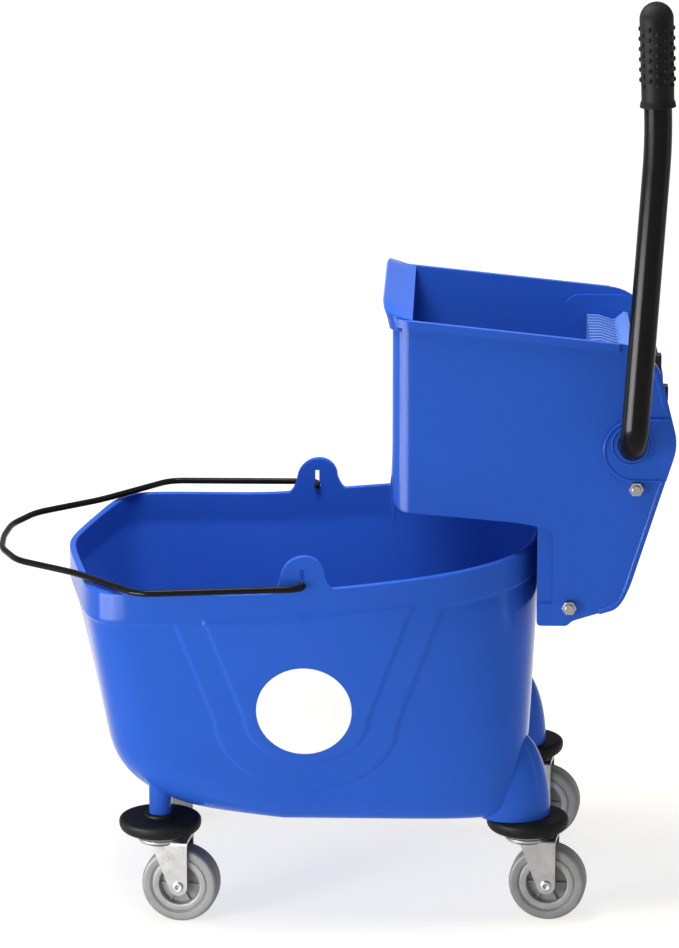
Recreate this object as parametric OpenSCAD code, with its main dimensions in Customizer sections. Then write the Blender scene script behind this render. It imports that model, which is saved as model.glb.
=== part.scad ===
// Wheeled mop bucket with a side press wringer hooked over its back end.
// Millimetres, +X from the bail to the wringer, +Z up, floor at zero, Y is the mirror plane's normal.

/* [Bucket] */
// Plan centre of the bucket along its length, from the middle of the casters' grid
bucket_mid_x = -50; // [-70:1:-30]
// Reach of the rim ahead of the plan centre, band included
rim_front = 217; // [205:1:235]
// Reach of the rim behind the plan centre, band included
rim_back = 250; // [244:1:262]
// Half width of the rim, band included
rim_half = 198; // [190:1:206]
// Reach of the base ahead of the plan centre, before its fillet
base_front = 166; // [158:1:174]
// Reach of the base behind the plan centre, before its fillet
base_back = 234; // [226:1:240]
// Half width of the base, before its fillet
base_half = 160; // [152:1:168]
// Height of the rim's front end above the base
rim_rise = 239; // [225:1:270]
// Further height of the rim at its back end
rim_back_lift = 27; // [15:1:40]
// Where the rim starts to rise, ahead of the ears
rim_turn = 41; // [30:1:55]
// How far the front corners of the rim lie behind its nose
prow = 42; // [30:1:50]
// Moulded wall of the bucket
bucket_wall = 4; // [3:0.5:5]
// Fillet between base and walls, from the middle to the back
base_fillet = 20; // [16:1:30]
// Fillet between base and walls at the front end
front_fillet = 74; // [50:1:90]
// Height of the band under the rim
band_tall = 31; // [22:1:36]
// How far the band stands out of the wall
band_proud = 2.5; // [2:0.5:5]
// Height of one terrace of the U panels on the long sides
panel_step = 1.25; // [1:0.25:2]

/* [Ears and bail] */
// Ears behind the plan centre
ear_back = 21; // [10:1:30]
// Radius of an ear's round top
ear_r = 21; // [18:1:24]
// Straight height under the round top
ear_lift = 13; // [10:1:16]
// Radius of the keyhole that the bail turns in
ear_hole_r = 3.5; // [3.4:0.1:4.5]
// Radius of the bail's wire
wire_r = 3.2; // [2.6:0.1:3.2]
// Reach of the bail ahead of its pivots
bail_reach = 304; // [290:1:320]
// Half width of the bail at its wide bends
bail_half = 219; // [214:1:228]

/* [Casters] */
// Front casters, ahead of the middle
caster_front = 170; // [160:1:175]
// Back casters, behind the middle
caster_back = 187; // [178:1:192]
// Half of the front casters' track
front_half = 137; // [130:1:142]
// Half of the back casters' track
back_half = 122; // [118:1:128]
// How the wheels stand turned in the forks' swivels, degrees
caster_yaw = -8; // [-30:1:30]
// How the far front wheel stands turned, degrees
far_front_yaw = 95; // [0:5:180]
// Wheel radius
wheel_r = 37.5; // [32:0.5:42]
// Width of the tyre
tyre_w = 25; // [20:1:28]
// Radius where the tyre sits on its hub
tyre_seat_r = 27; // [24:0.5:29]
// Axle behind the swivel
caster_trail = 20.5; // [14:0.5:24]
// Radius of the axle bolt
axle_r = 4; // [3:0.25:5]
// Radius of the rubber bumper
bumper_r = 40; // [34:0.5:42]
// Thickness of the bumper
bumper_t = 15; // [11:0.5:17]
// Radius of the front posts
post_r = 10.75; // [9:0.25:12]
// Radius of the stem in its post
stem_r = 5.5; // [4:0.25:6.5]

/* [Wringer] */
// Reach of the hopper ahead of its hook
hopper_front = 148; // [138:1:156]
// Half width of the hopper
hopper_half = 138; // [136:1:144]
// Moulded wall of the wringer
hopper_wall = 4; // [3:0.5:5]
// Radius of the hopper's upright front corners
hopper_corner = 20; // [12:1:28]
// Rim above the seat at the front
hopper_front_rise = 227; // [215:1:240]
// Rim above the seat at the back
hopper_back_rise = 203; // [200:1:208]
// Lever shaft behind the hook
shaft_back = 79; // [75:1:82]
// Lever shaft above the seat
shaft_rise = 108; // [104:1:112]
// Height of the band round the hopper's rim
lip_band = 8; // [6:0.5:12]

/* [Press] */
// Radius of the lever's tube
tube_r = 13; // [12:0.25:14]
// Wall of the lever's tube
tube_wall = 2; // [1.5:0.25:3]
// Lever's length from the shaft to the end of the grip
lever_len = 425; // [380:1:450]
// How the lever leans back at rest, degrees
lever_lean = 3.5; // [0:0.5:6]
// Radius of the bend between lever and shaft
elbow_r = 28; // [24:1:34]
// Length of the grip
grip_len = 97; // [80:1:120]
// Radius of the grip
grip_r = 15.7; // [15:0.1:18]
// Gear module
gear_module = 4; // [3.8:0.05:4]
// Teeth of a pinion
gear_teeth = 12; // [12:1:12]
// Width of a pinion and its rack
gear_w = 16; // [12:1:20]
// Pinions inside the hopper's cheeks
gear_inset = 68; // [63:1:83]
// Spacing of the press plate's ribs
rib_pitch = 13; // [10:0.5:16]

/* [Hidden] */
$fn = 48;

// Clearances: a seat that rests, a running fit, a pressed seat, and an overrun for cuts
rest_gap = 0.3;
run_gap = 0.05;
press_gap = 0.02;
over = 1;

// Caster stack from the floor up
axle_z = wheel_r;
fork_rise = 43;
fork_plate = 3.5;
fork_sheet = 2.5;
fork_disc_r = 22;
fork_side_gap = 2;
fork_tip_r = 9;
race_t = 4.7;
race_r = 25;
fork_top_z = axle_z + fork_rise;
race_z = fork_top_z + fork_plate + rest_gap;
bumper_z = race_z + race_t;
post_z = bumper_z + bumper_t;
base_gap = 1;
base_z = post_z + base_gap;
stem_rise = 20;

// Bucket derived sizes
rim_z = base_z + rim_rise;
wall_front = rim_front - band_proud;
wall_back = rim_back - band_proud;
wall_half = rim_half - band_proud;
rim_back_x = bucket_mid_x + rim_back;
ear_x = bucket_mid_x + ear_back;
rim_turn_x = ear_x - rim_turn;
rim_ease_share = 0.15;
ear_fillet = 9;
pivot_rise = 5;
pivot_z = rim_height(ear_x) + pivot_rise;
ear_slot_w = 4;
ear_slot_tall = 16;

// Bail route: shares of its reach and half widths, from the pivot to the middle of the hand grip
bail_reach_shares = [0.507, 0.724, 0.925, 0.99, 1];
bail_half_shares = [1, 0.645, 0.42, 0.21, 0];
bail_pin_off = 10;
bail_fall = 6;
bail_bend = 14;
bail_stub = 22;
bail_sides = 8;
bend_steps = 4;
bail_pin_grow = 0.1;

// Wringer frame: everything hangs from the hook over the bucket's back rim
hook_gap = 2;
hook_x = rim_back_x + hook_gap;
seat_z = rim_height(bucket_mid_x + wall_back) + rest_gap;
shaft_x = hook_x + shaft_back;
shaft_z = seat_z + shaft_rise;
hopper_front_x = hook_x - hopper_front;
hopper_in = hopper_half - hopper_wall;
rim_front_z = seat_z + hopper_front_rise;
rim_end_z = seat_z + hopper_back_rise;

// Outline of the wringer's cheeks: places behind the hook and above the seat
floor_front_rise = 40;
floor_mid_back = -24;
floor_mid_rise = 29.5;
floor_low_rise = 22;
cheek_edge_back = 6;
shelf_back = 92;
tab_front = 9;
tab_back = 20;
tab_tall = 22;
tab_low = 72;
foot_back = 25;
foot_low = 67;
heel_back = 74;
heel_low = 51.5;
apex_behind_shaft = 44;
apex_under_shaft = 0.5;
shoulder_back = 103;
shoulder_rise = 185;
rim_end_back = 80;
cheek_round = 14;
notch_round = 8;
heel_round = 24;
foot_round = 3;
front_round = 16;
cheek_steps = 6;
lip_proud = 3;
edge_x = hook_x + cheek_edge_back;
wringer_back_x = shaft_x + apex_behind_shaft;

// Lip that flares over the hopper's front wall
lip_half = 118;
lip_reach = 7.5;
lip_rise = 12;
lip_root = 19;
lip_t = 4;
lip_chamfer = 14;

// Lever and drive
boss_r = 30;
boss_back = 3.5;
boss_low = 6;
boss_t = 3;
collar_r = 19.5;
collar_t = 3;
bushing_r = 17;
bushing_flange_r = 18.5;
bushing_flange_t = 2;
collar_gap = 0.5;
shaft_far_y = hopper_half + boss_t + collar_t + rest_gap;
elbow_clear = 6;
lever_off = boss_t + collar_t + elbow_clear + elbow_r;
lever_y = -(hopper_half + lever_off);
crank_drop = 130;
crank_turn = 5.5;
crank_bead = 0.3;
crank_rise = lever_len - crank_drop;
gear_y = hopper_half - gear_inset;
grip_lip_tall = 4;
grip_lip = 1.1;
cap_r = 19;
cap_t = 5;
pressure_angle = 25;
tooth_addendum_share = 0.9;
tooth_dedendum_share = 1.15;
tooth_play = 0.4;
pitch_r = gear_module * gear_teeth / 2;
gear_tip_r = pitch_r + gear_module * tooth_addendum_share;
gear_root_r = pitch_r - gear_module * tooth_dedendum_share;
gear_base_r = pitch_r * cos(pressure_angle);
tooth_pitch = PI * gear_module;
tooth_turn = 360 / gear_teeth;
first_tooth = 90;
pinion_hub_w = 12;
pinion_hub_r = 18.6;
pin_r = 2.5;
press_swing = 85;
press_travel = pitch_r * press_swing * PI / 180;

// Press plate
plate_gap = 1.6;
plate_back_x = shaft_x - gear_tip_r - plate_gap;
plate_t = 5;
rib_deep = 2;
rib_w_share = 0.45;
plate_z = shelf_top_z() + rest_gap;
plate_top_rise = 176;
plate_top_z = seat_z + plate_top_rise;
guide_t = 3;
plate_half = hopper_in - guide_t - rest_gap;
hood_t = 4;
hood_back = [4.2, 19.6, 30, 34.2];
hood_rise = [0, -5, 4.3, 3.2];
rack_z = shaft_z + pitch_r;
rack_bar = 13;
rack_tail = 1;
rack_foot_t = 5;
rack_foot_tall = 30;
screw_r = 2;
screw_head_r = 3.6;
screw_head_t = 3;
screw_deep = 4.5;

// Tie rods across the cheeks: places behind the hook and above the seat
tie_back = [84, 22];
tie_rise = [64.6, -53];
tie_r = 4;
tie_head_r = 6.8;
tie_head_t = 5;
nut_r = 7.2;
nut_t = 6;

// Return spring round the shaft
spring_wire_r = 1.3;
spring_rings = 8;
spring_coil_r = (tube_r + spring_wire_r + rest_gap) / cos(180 / spring_rings);
spring_turns = 7;
spring_pitch = 3.4;
spring_sides = 6;
spring_stand = 4;
spring_y = gear_y + gear_w / 2 + pinion_hub_w + spring_stand;
spring_leg = 9;

// Drain grate in the hopper's floor
grate_t = 3;
grate_margin = 16;
grate_bar = 5;
grate_gap = 9;

// Frame origin: middle of the whole length, on the floor
origin_x = (ear_x - bail_reach - wire_r + wringer_back_x) / 2;

BLUE = [0.08, 0.27, 0.78];
BLACK = [0.04, 0.04, 0.045];
STEEL = [0.78, 0.79, 0.8];
TYRE_GREY = [0.62, 0.63, 0.64];
HUB_GREY = [0.42, 0.43, 0.45];

// General shapes

// Extrudes a side outline, drawn in X and Z, between two places across the object
module across(y0, y1) {
  rotate([90, 0, 0]) translate([0, 0, -y1]) linear_extrude(y1 - y0) children();
}

// The same shape on the far side as drawn, or mirrored to the near side
module on_side(s) {
  mirror([0, s > 0 ? 0 : 1, 0]) children();
}

// Round bar along Y
module bar_y(r, y0, y1) {
  translate([0, y0, 0]) rotate([-90, 0, 0]) cylinder(r = r, h = y1 - y0);
}

module rounded_rect(w, h, r) {
  square([w - 2 * r, h], center = true);
  square([w, h - 2 * r], center = true);
  for (sx = [-1, 1], sy = [-1, 1]) translate([sx * (w / 2 - r), sy * (h / 2 - r)]) circle(r);
}

function unit(v) = v / norm(v);
function smooth(s) = let (c = min(max(s, 0), 1)) c * c * (3 - 2 * c);
function last_of(list) = list[len(list) - 1];

// Points of a path whose corners are eased with short curves
function eased_corner(a, b, c, reach, steps) =
  let (p = b + unit(a - b) * min(reach, norm(a - b) / 2),
    q = b + unit(c - b) * min(reach, norm(c - b) / 2))
  [for (k = [0 : steps]) let (s = k / steps) p * (1 - s) * (1 - s) + b * 2 * s * (1 - s) + q * s * s];
function eased(path, reach, steps) = concat([path[0]],
  [for (i = [1 : len(path) - 2]) each eased_corner(path[i - 1], path[i], path[i + 1], reach, steps)],
  [last_of(path)]);
// Outline with each corner eased by its own reach
function eased_outline(points, reaches, steps) = let (n = len(points))
  [for (i = [0 : n - 1]) each reaches[i] > 0
    ? eased_corner(points[(i + n - 1) % n], points[i], points[(i + 1) % n], reaches[i], steps)
    : [points[i]]];

// Tube swept along a path, with one side turned to a fixed direction
function path_way(path, i) = unit(path[min(i + 1, len(path) - 1)] - path[max(i - 1, 0)]);
module tube_along(path, r, sides, up) {
  rings = [for (i = [0 : len(path) - 1])
    let (t = path_way(path, i), b = unit(cross(t, up)), n = cross(b, t))
    [for (k = [0 : sides - 1]) let (a = 360 * k / sides) path[i] + r * (cos(a) * b + sin(a) * n)]];
  count = len(path);
  faces = concat(
    [[for (k = [sides - 1 : -1 : 0]) k]],
    [[for (k = [0 : sides - 1]) (count - 1) * sides + k]],
    [for (i = [0 : count - 2], k = [0 : sides - 1]) let (m = (k + 1) % sides)
      each [[i * sides + k, (i + 1) * sides + m, (i + 1) * sides + k],
            [i * sides + k, i * sides + m, (i + 1) * sides + m]]]);
  polyhedron(points = [for (ring = rings) each ring], faces = faces, convexity = 6);
}

// Bucket

// Level at the front, then a straight rise to the back, with the turn eased
function hinge(s, e) = s < -e ? 0 : s < e ? (s + e) * (s + e) / (4 * e) : s;
function rim_height(x) = rim_z
  + rim_back_lift * hinge((x - rim_turn_x) / (rim_back_x - rim_turn_x), rim_ease_share);

// How far the front lies behind its nose, by the share of the half width
nose_ease_share = 0.15;
function nose(q) = sqrt(q * q + nose_ease_share * nose_ease_share) - nose_ease_share;

// Plan stations as directions: along the near and far sides, finer at the ears, and round the ends
side_steps = 18;
ear_shares = [1.45, 1.25, 1.1, 1.02, 0.98, 0.88, 0.7, 0.48, 0.24, 0];
end_shares = [0.93, 0.85, 0.7, 0.5, 0.3, 0.15];
ear_dirs = concat([for (s = ear_shares) side_dir(ear_back + s * ear_r)],
  [for (k = [len(ear_shares) - 2 : -1 : 0]) side_dir(ear_back - ear_shares[k] * ear_r)]);
function side_dir(dx) = dx > 0 ? dx / wall_back : dx / (wall_front - prow * nose(1));
far_dirs = concat(
  [for (k = [0 : side_steps - 1]) 1 + (ear_dirs[0] - 1) * k / side_steps],
  ear_dirs,
  [for (k = [1 : side_steps]) last_of(ear_dirs) + (-1 - last_of(ear_dirs)) * k / side_steps]);
end_dirs = concat(end_shares, [0], [for (k = [len(end_shares) - 1 : -1 : 0]) -end_shares[k]]);
stations = concat(
  [for (u = far_dirs) [u, 1]],
  [for (v = end_dirs) [-1, v]],
  [for (k = [len(far_dirs) - 1 : -1 : 0]) [far_dirs[k], -1]],
  [for (k = [len(end_dirs) - 1 : -1 : 0]) [1, end_dirs[k]]]);

// Roundness of the plan and share of the prow, at the base and at the rim
front_power = [5.7, 12];
back_power = [8, 3.2];
prow_shares = [0.3, 1];
function blend(pair, t) = pair[0] + (pair[1] - pair[0]) * t;
function plan_point(d, t, inset) =
  let (back = d[0] > 0,
    p = blend(back ? back_power : front_power, t),
    a = blend(back ? [base_back, wall_back] : [base_front, wall_front], t) - inset,
    b = blend([base_half, wall_half], t) - inset,
    s = pow(pow(abs(d[0]), p) + pow(abs(d[1]), p), -1 / p),
    pull = back ? 0 : prow * blend(prow_shares, t) * nose(s * abs(d[1])))
  [bucket_mid_x + (a - pull) * s * d[0], b * s * d[1]];
function station_top(d) = rim_height(plan_point(d, 1, 0)[0]);
function ear_rise(x) = let (dx = abs(x - ear_x))
  dx <= ear_r ? ear_lift + sqrt(ear_r * ear_r - dx * dx)
  : dx < ear_r + ear_fillet ? ear_lift * pow(1 - (dx - ear_r) / ear_fillet, 2) : 0;
function ear_at(d) = abs(d[1]) == 1 ? ear_rise(plan_point(d, 1, 0)[0]) : 0;

// U panel: two terraces, each with upright flaring sides and a round bottom
panel_half = [73, 52];
panel_drop = [47, 38];
panel_low = [36, 62];
panel_flare_share = 0.35;
panel_ramp = 9;
function panel_width(i, h) = let (up = h - panel_low[i] - panel_drop[i])
  up >= 0 ? panel_half[i] + panel_flare_share * up
  : up > -panel_drop[i] ? panel_half[i] * sqrt(1 - pow(up / panel_drop[i], 2)) : -panel_ramp;
function panel_out(x, h) =
  panel_step * (smooth((panel_width(0, h) - abs(x - ear_x)) / panel_ramp)
    + smooth((panel_width(1, h) - abs(x - ear_x)) / panel_ramp));

// Rings of the outer skin from the base up, of the band, and of the inner skin down to the floor
wall_levels = 10;
fillet_angles = [0, 18, 36, 54, 72];
function fillet_in(a, r) = r * (1 - sin(a));
function fillet_up(a, r) = r * (1 - cos(a));
function fillet_of(d) = blend([base_fillet, front_fillet], max(0, -d[0]));
function floor_fillet(d) = fillet_of(d) - bucket_wall;
// The walls lean from the base to the band's lower edge and stand upright above it
function height_share(d, z) = min(1, (z - base_z) / (station_top(d) - band_tall - base_z));
function skin_point(d, z, inset) =
  let (q = plan_point(d, height_share(d, z), inset)) [q[0], q[1], z];
function outer_point(d, z) =
  let (q = skin_point(d, z, 0), out = abs(d[1]) == 1 ? panel_out(q[0], z - base_z) : 0)
  [q[0], q[1] + sign(d[1]) * out, z];
function wall_z(d, k) = blend([base_z + fillet_of(d), station_top(d) - band_tall], k / wall_levels);
rim_round = 2;
inner_levels = 5;
function inner_z(d, k) = k == 0 ? station_top(d) : blend([station_top(d) - band_tall,
  base_z + bucket_wall + floor_fillet(d)], (k - 1) / (inner_levels - 1));
function fillet_ring(a, deep) = [for (d = stations) let (r = fillet_of(d) - (deep > 0 ? bucket_wall : 0))
  skin_point(d, base_z + deep + fillet_up(a, r), deep + fillet_in(a, r))];
outer_rings = concat(
  [for (a = fillet_angles) fillet_ring(a, 0)],
  [for (k = [0 : wall_levels]) [for (d = stations) outer_point(d, wall_z(d, k))]]);
function rim_point(d, inset, drop) =
  let (q = plan_point(d, 1, inset)) [q[0], q[1], station_top(d) + ear_at(d) - drop];
band_rings = [
  [for (d = stations) skin_point(d, station_top(d) - band_tall, -band_proud)],
  [for (d = stations) rim_point(d, -band_proud, rim_round)],
  [for (d = stations) rim_point(d, rim_round - band_proud, 0)],
  [for (d = stations) rim_point(d, bucket_wall - rim_round, 0)],
  [for (d = stations) rim_point(d, bucket_wall, rim_round)]];
floor_angles = [for (i = [len(fillet_angles) - 1 : -1 : 0]) fillet_angles[i]];
inner_rings = concat(
  [for (k = [1 : inner_levels]) [for (d = stations) skin_point(d, inner_z(d, k), bucket_wall)]],
  [for (a = floor_angles) fillet_ring(a, bucket_wall)]);

module bucket_shell() {
  rings = concat(outer_rings, band_rings, inner_rings);
  n = len(stations);
  faces = concat(
    [[for (k = [0 : n - 1]) k]],
    [[for (k = [n - 1 : -1 : 0]) (len(rings) - 1) * n + k]],
    [for (i = [0 : len(rings) - 2], k = [0 : n - 1]) let (m = (k + 1) % n)
      each [[i * n + k, (i + 1) * n + k, (i + 1) * n + m], [i * n + k, (i + 1) * n + m, i * n + m]]]);
  polyhedron(points = [for (ring = rings) each ring], faces = faces, convexity = 10);
}

caster_ids = [[-caster_front, -front_half], [-caster_front, front_half],
  [caster_back, -back_half], [caster_back, back_half]];
post_tall = 70;
fender_r = 37;
fender_tall = 84;
fender_ahead = 15;
fender_in = 7;
fender_steps = 7;

// Space inside the bucket, kept off its skin so that the legs still join it
module bucket_room() {
  rings = concat(
    [for (k = [0 : inner_levels]) [for (d = stations) skin_point(d, inner_z(d, k), bucket_wall + over)]],
    [for (a = floor_angles) fillet_ring(a, bucket_wall + over)]);
  n = len(stations);
  faces = concat(
    [[for (k = [n - 1 : -1 : 0]) k]],
    [[for (k = [0 : n - 1]) (len(rings) - 1) * n + k]],
    [for (i = [0 : len(rings) - 2], k = [0 : n - 1]) let (m = (k + 1) % n)
      each [[i * n + k, (i + 1) * n + m, (i + 1) * n + k], [i * n + k, i * n + m, (i + 1) * n + m]]]);
  polyhedron(points = [for (ring = rings) each ring], faces = faces, convexity = 4);
}

// Front posts are plain; the back ones are domed legs set in towards the bucket
module caster_legs() {
  for (c = caster_ids) if (c[0] < 0)
    translate([c[0], c[1], post_z]) cylinder(r = post_r, h = post_tall);
  else translate([c[0] - fender_ahead, c[1] - sign(c[1]) * fender_in, post_z]) rotate_extrude()
    polygon(concat([[0, 0]], [for (k = [0 : fender_steps]) let (a = 90 * k / fender_steps)
      [fender_r * cos(a), fender_tall * sin(a)]]));
}

module bucket() {
  color(BLUE) difference() {
    union() {
      bucket_shell();
      difference() {
        caster_legs();
        bucket_room();
      }
    }
    translate([ear_x, 0, pivot_z]) bar_y(ear_hole_r, -rim_half - over, rim_half + over);
    translate([ear_x - ear_slot_w / 2, -rim_half - over, pivot_z])
      cube([ear_slot_w, 2 * (rim_half + over), ear_slot_tall]);
    for (c = caster_ids) translate([c[0], c[1], post_z - over])
      cylinder(r = stem_r + run_gap, h = stem_rise + over + rest_gap);
  }
}

// Bail

bail_way = concat([[0, -rim_half - bail_pin_off, 0]], [for (i = [0 : len(bail_reach_shares) - 1])
  let (share = bail_reach_shares[i])
  [-bail_reach * share, -bail_half * bail_half_shares[i], -bail_fall * share]]);
bail_far_way = [for (i = [len(bail_way) - 2 : -1 : 0]) [bail_way[i][0], -bail_way[i][1], bail_way[i][2]]];

module bail_handle() {
  stub = [0, bail_stub - over, 0];
  route = concat([bail_way[0] + stub], bail_way, bail_far_way, [last_of(bail_far_way) - stub]);
  pin_end = -bail_way[0][1];
  color(BLACK) translate([ear_x, 0, pivot_z]) {
    tube_along(eased(route, bail_bend, bend_steps), wire_r, bail_sides, unit([bail_fall, 0, -bail_reach]));
    for (s = [-1, 1]) on_side(s)
      bar_y(wire_r + bail_pin_grow, pin_end - bail_stub, pin_end - bail_bend / 2);
  }
}

// Casters

module at_caster(i) {
  translate([caster_ids[i][0], caster_ids[i][1], 0]) children();
}

// The second caster in the list is the far front one
function yaw_of(i) = i == 1 ? far_front_yaw : caster_yaw;
module at_wheel(i) {
  at_caster(i) rotate([0, 0, yaw_of(i)]) translate([caster_trail, 0, axle_z]) children();
}

bumper_ring = 4;
bumper_ring_t = 3.5;
bumper_edge = 4;
module bumper_outline() {
  square([bumper_r - bumper_edge, bumper_t]);
  translate([0, bumper_edge]) square([bumper_r, bumper_t - 2 * bumper_edge]);
  for (z = [bumper_edge, bumper_t - bumper_edge]) translate([bumper_r - bumper_edge, z]) circle(bumper_edge);
}

module bumper(i) {
  color(BLACK) at_caster(i) difference() {
    union() {
      translate([0, 0, bumper_z]) rotate_extrude() bumper_outline();
      translate([0, 0, bumper_z]) cylinder(r = post_r + bumper_ring, h = bumper_t + bumper_ring_t);
    }
    if (caster_ids[i][0] < 0) translate([0, 0, post_z]) cylinder(r = post_r + press_gap, h = bumper_t);
    else translate([-fender_ahead, -sign(caster_ids[i][1]) * fender_in, post_z])
      cylinder(r = fender_r + rest_gap, h = bumper_t);
    translate([0, 0, bumper_z - over]) cylinder(r = stem_r + press_gap, h = bumper_t + 2 * over);
  }
}

race_lip = 3;
module stem(i) {
  color(STEEL) at_caster(i) {
    translate([0, 0, race_z]) rotate_extrude()
      polygon([[0, 0], [race_r - race_lip, 0], [race_r, race_lip], [race_r, race_t], [0, race_t]]);
    translate([0, 0, race_z]) cylinder(r = stem_r, h = race_t + bumper_t + stem_rise);
  }
}

fork_half = tyre_w / 2 + fork_side_gap;
fork_heel = 5;
module fork_leg_outline() {
  polygon([[-fork_heel, fork_top_z + fork_plate], [caster_trail + fork_tip_r, fork_top_z + fork_plate],
    [caster_trail + fork_tip_r, axle_z], [caster_trail - fork_tip_r, axle_z]]);
  translate([caster_trail, axle_z]) circle(fork_tip_r);
}

module fork(i) {
  color(STEEL) at_caster(i) rotate([0, 0, yaw_of(i)]) difference() {
    union() {
      translate([0, 0, fork_top_z]) cylinder(r = fork_disc_r, h = fork_plate);
      translate([0, -fork_half - fork_sheet, fork_top_z])
        cube([caster_trail + fork_tip_r, 2 * (fork_half + fork_sheet), fork_plate]);
      across(-fork_half - fork_sheet, -fork_half) fork_leg_outline();
      across(fork_half, fork_half + fork_sheet) fork_leg_outline();
    }
    translate([caster_trail, 0, axle_z])
      bar_y(axle_r + press_gap, -fork_half - fork_sheet - over, fork_half + fork_sheet + over);
  }
}

axle_head_r = 6.5;
axle_head_t = 3;
axle_nut_t = 4;
axle_tail = 2;
module axle(i) {
  end = fork_half + fork_sheet;
  color(STEEL) at_wheel(i) {
    bar_y(axle_r, -end, end + axle_nut_t + axle_tail);
    bar_y(axle_head_r, -end - axle_head_t, -end);
    translate([0, end, 0]) rotate([-90, 0, 0]) cylinder(r = axle_head_r, h = axle_nut_t, $fn = 6);
  }
}

tyre_edge = 4;
module tyre(i) {
  deep = wheel_r - tyre_seat_r;
  color(TYRE_GREY) at_wheel(i) rotate([90, 0, 0]) rotate_extrude()
    translate([tyre_seat_r + deep / 2, 0]) rounded_rect(deep, tyre_w, tyre_edge);
}

hub_rim = 7;
hub_dish = 6;
hub_boss_r = 9;
hub_inset = 1.5;
hub_ribs = 6;
hub_rib_t = 3;
module hub(i) {
  half = tyre_w / 2 - hub_inset;
  seat = tyre_seat_r - press_gap;
  color(HUB_GREY) at_wheel(i) difference() {
    union() {
      rotate([90, 0, 0]) rotate_extrude() polygon([
        [0, -half], [hub_boss_r, -half], [hub_boss_r, hub_dish - half], [seat - hub_rim, hub_dish - half],
        [seat - hub_rim, -half], [seat, -half], [seat, half], [seat - hub_rim, half],
        [seat - hub_rim, half - hub_dish], [hub_boss_r, half - hub_dish], [hub_boss_r, half], [0, half]]);
      for (k = [0 : hub_ribs - 1]) rotate([0, 360 * k / hub_ribs, 0])
        translate([0, hub_inset - half, -hub_rib_t / 2])
          cube([seat - hub_rim / 2, 2 * (half - hub_inset), hub_rib_t]);
    }
    bar_y(axle_r + run_gap, -tyre_w, tyre_w);
  }
}

// Wringer body

function shelf_top_z() = seat_z + floor_low_rise + hopper_wall;
cheek_points = [
  [hopper_front_x, rim_front_z], [hook_x + rim_end_back, rim_end_z],
  [hook_x + shoulder_back, seat_z + shoulder_rise], [wringer_back_x, shaft_z - apex_under_shaft],
  [hook_x + heel_back, seat_z - heel_low], [hook_x + foot_back, seat_z - foot_low],
  [hook_x + tab_back, seat_z - tab_low], [hook_x - tab_front, seat_z - tab_low],
  [hook_x - tab_front, seat_z - tab_low + tab_tall], [edge_x, seat_z - tab_low + tab_tall],
  [edge_x, seat_z + floor_low_rise],
  [hook_x + floor_mid_back, seat_z + floor_mid_rise], [hopper_front_x, seat_z + floor_front_rise]];
cheek_eases = [0, cheek_round, cheek_round, cheek_round, heel_round, foot_round, foot_round, tab_front / 2,
  tab_front / 2, 0, notch_round, cheek_round, front_round];

module cheek_outline() {
  polygon(eased_outline(cheek_points, cheek_eases, cheek_steps));
}

// Plan of the hopper: a long tray with rounded front corners, open at the back
module hopper_plan(grow) {
  reach = wringer_back_x - hopper_front_x + hopper_corner;
  translate([hopper_front_x - grow + (reach + grow) / 2, 0])
    rounded_rect(reach + grow, 2 * (hopper_half + grow), hopper_corner + grow);
}

// What is taken out of the block: the hopper above its floor and the room between the cheeks under the shelf
hollow_low_z = seat_z - tab_low - over;
hollow_high_z = rim_front_z + over;
module hollow_outline() {
  w = hopper_wall;
  polygon([[hopper_front_x, hollow_high_z], [hopper_front_x, floor_z(hopper_front_x) + w],
    [hook_x + floor_mid_back, seat_z + floor_mid_rise + w],
    [edge_x, seat_z + floor_low_rise + w],
    [hook_x + shelf_back, seat_z + floor_low_rise + w], [hook_x + shelf_back, seat_z + floor_low_rise],
    [hook_x - tab_front - over, seat_z + floor_low_rise], [hook_x - tab_front - over, hollow_low_z],
    [wringer_back_x + over, hollow_low_z], [wringer_back_x + over, hollow_high_z]]);
}

// Walls, sloping floor with the grate's window and shelf, as one hollowed block
floor_window_front = hopper_front_x + grate_margin;
floor_window_back = hook_x + floor_mid_back;
function floor_z(x) = seat_z + floor_front_rise
  + (floor_mid_rise - floor_front_rise) * (x - hopper_front_x) / (hopper_front + floor_mid_back);
module hopper_shell() {
  tall = hollow_high_z - hollow_low_z;
  difference() {
    intersection() {
      across(-hopper_half, hopper_half) cheek_outline();
      translate([0, 0, hollow_low_z]) linear_extrude(tall) hopper_plan(0);
    }
    intersection() {
      across(-hopper_in, hopper_in) hollow_outline();
      translate([0, 0, hollow_low_z]) linear_extrude(tall) hopper_plan(-hopper_wall);
    }
    translate([floor_window_front, grate_margin - hopper_in, seat_z])
      cube([floor_window_back - floor_window_front, 2 * (hopper_in - grate_margin), hopper_back_rise]);
  }
}

// Band round the rim, following its slope
module rim_band() {
  slope = (rim_front_z - rim_end_z) / (hook_x + rim_end_back - hopper_front_x);
  front = hopper_front_x - lip_proud;
  back = hook_x + rim_end_back - cheek_round;
  top = [rim_front_z + slope * lip_proud, rim_front_z - slope * (back - hopper_front_x)];
  intersection() {
    across(-hopper_half - lip_proud, hopper_half + lip_proud)
      polygon([[front, top[0]], [back, top[1]], [back, top[1] - lip_band], [front, top[0] - lip_band]]);
    translate([0, 0, rim_end_z - lip_band]) difference() {
      linear_extrude(2 * (rim_front_z - rim_end_z) + lip_band) hopper_plan(lip_proud);
      translate([0, 0, -over]) linear_extrude(2 * (rim_front_z - rim_end_z) + lip_band + 2 * over)
        hopper_plan(-hopper_wall / 2);
    }
  }
}

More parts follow.
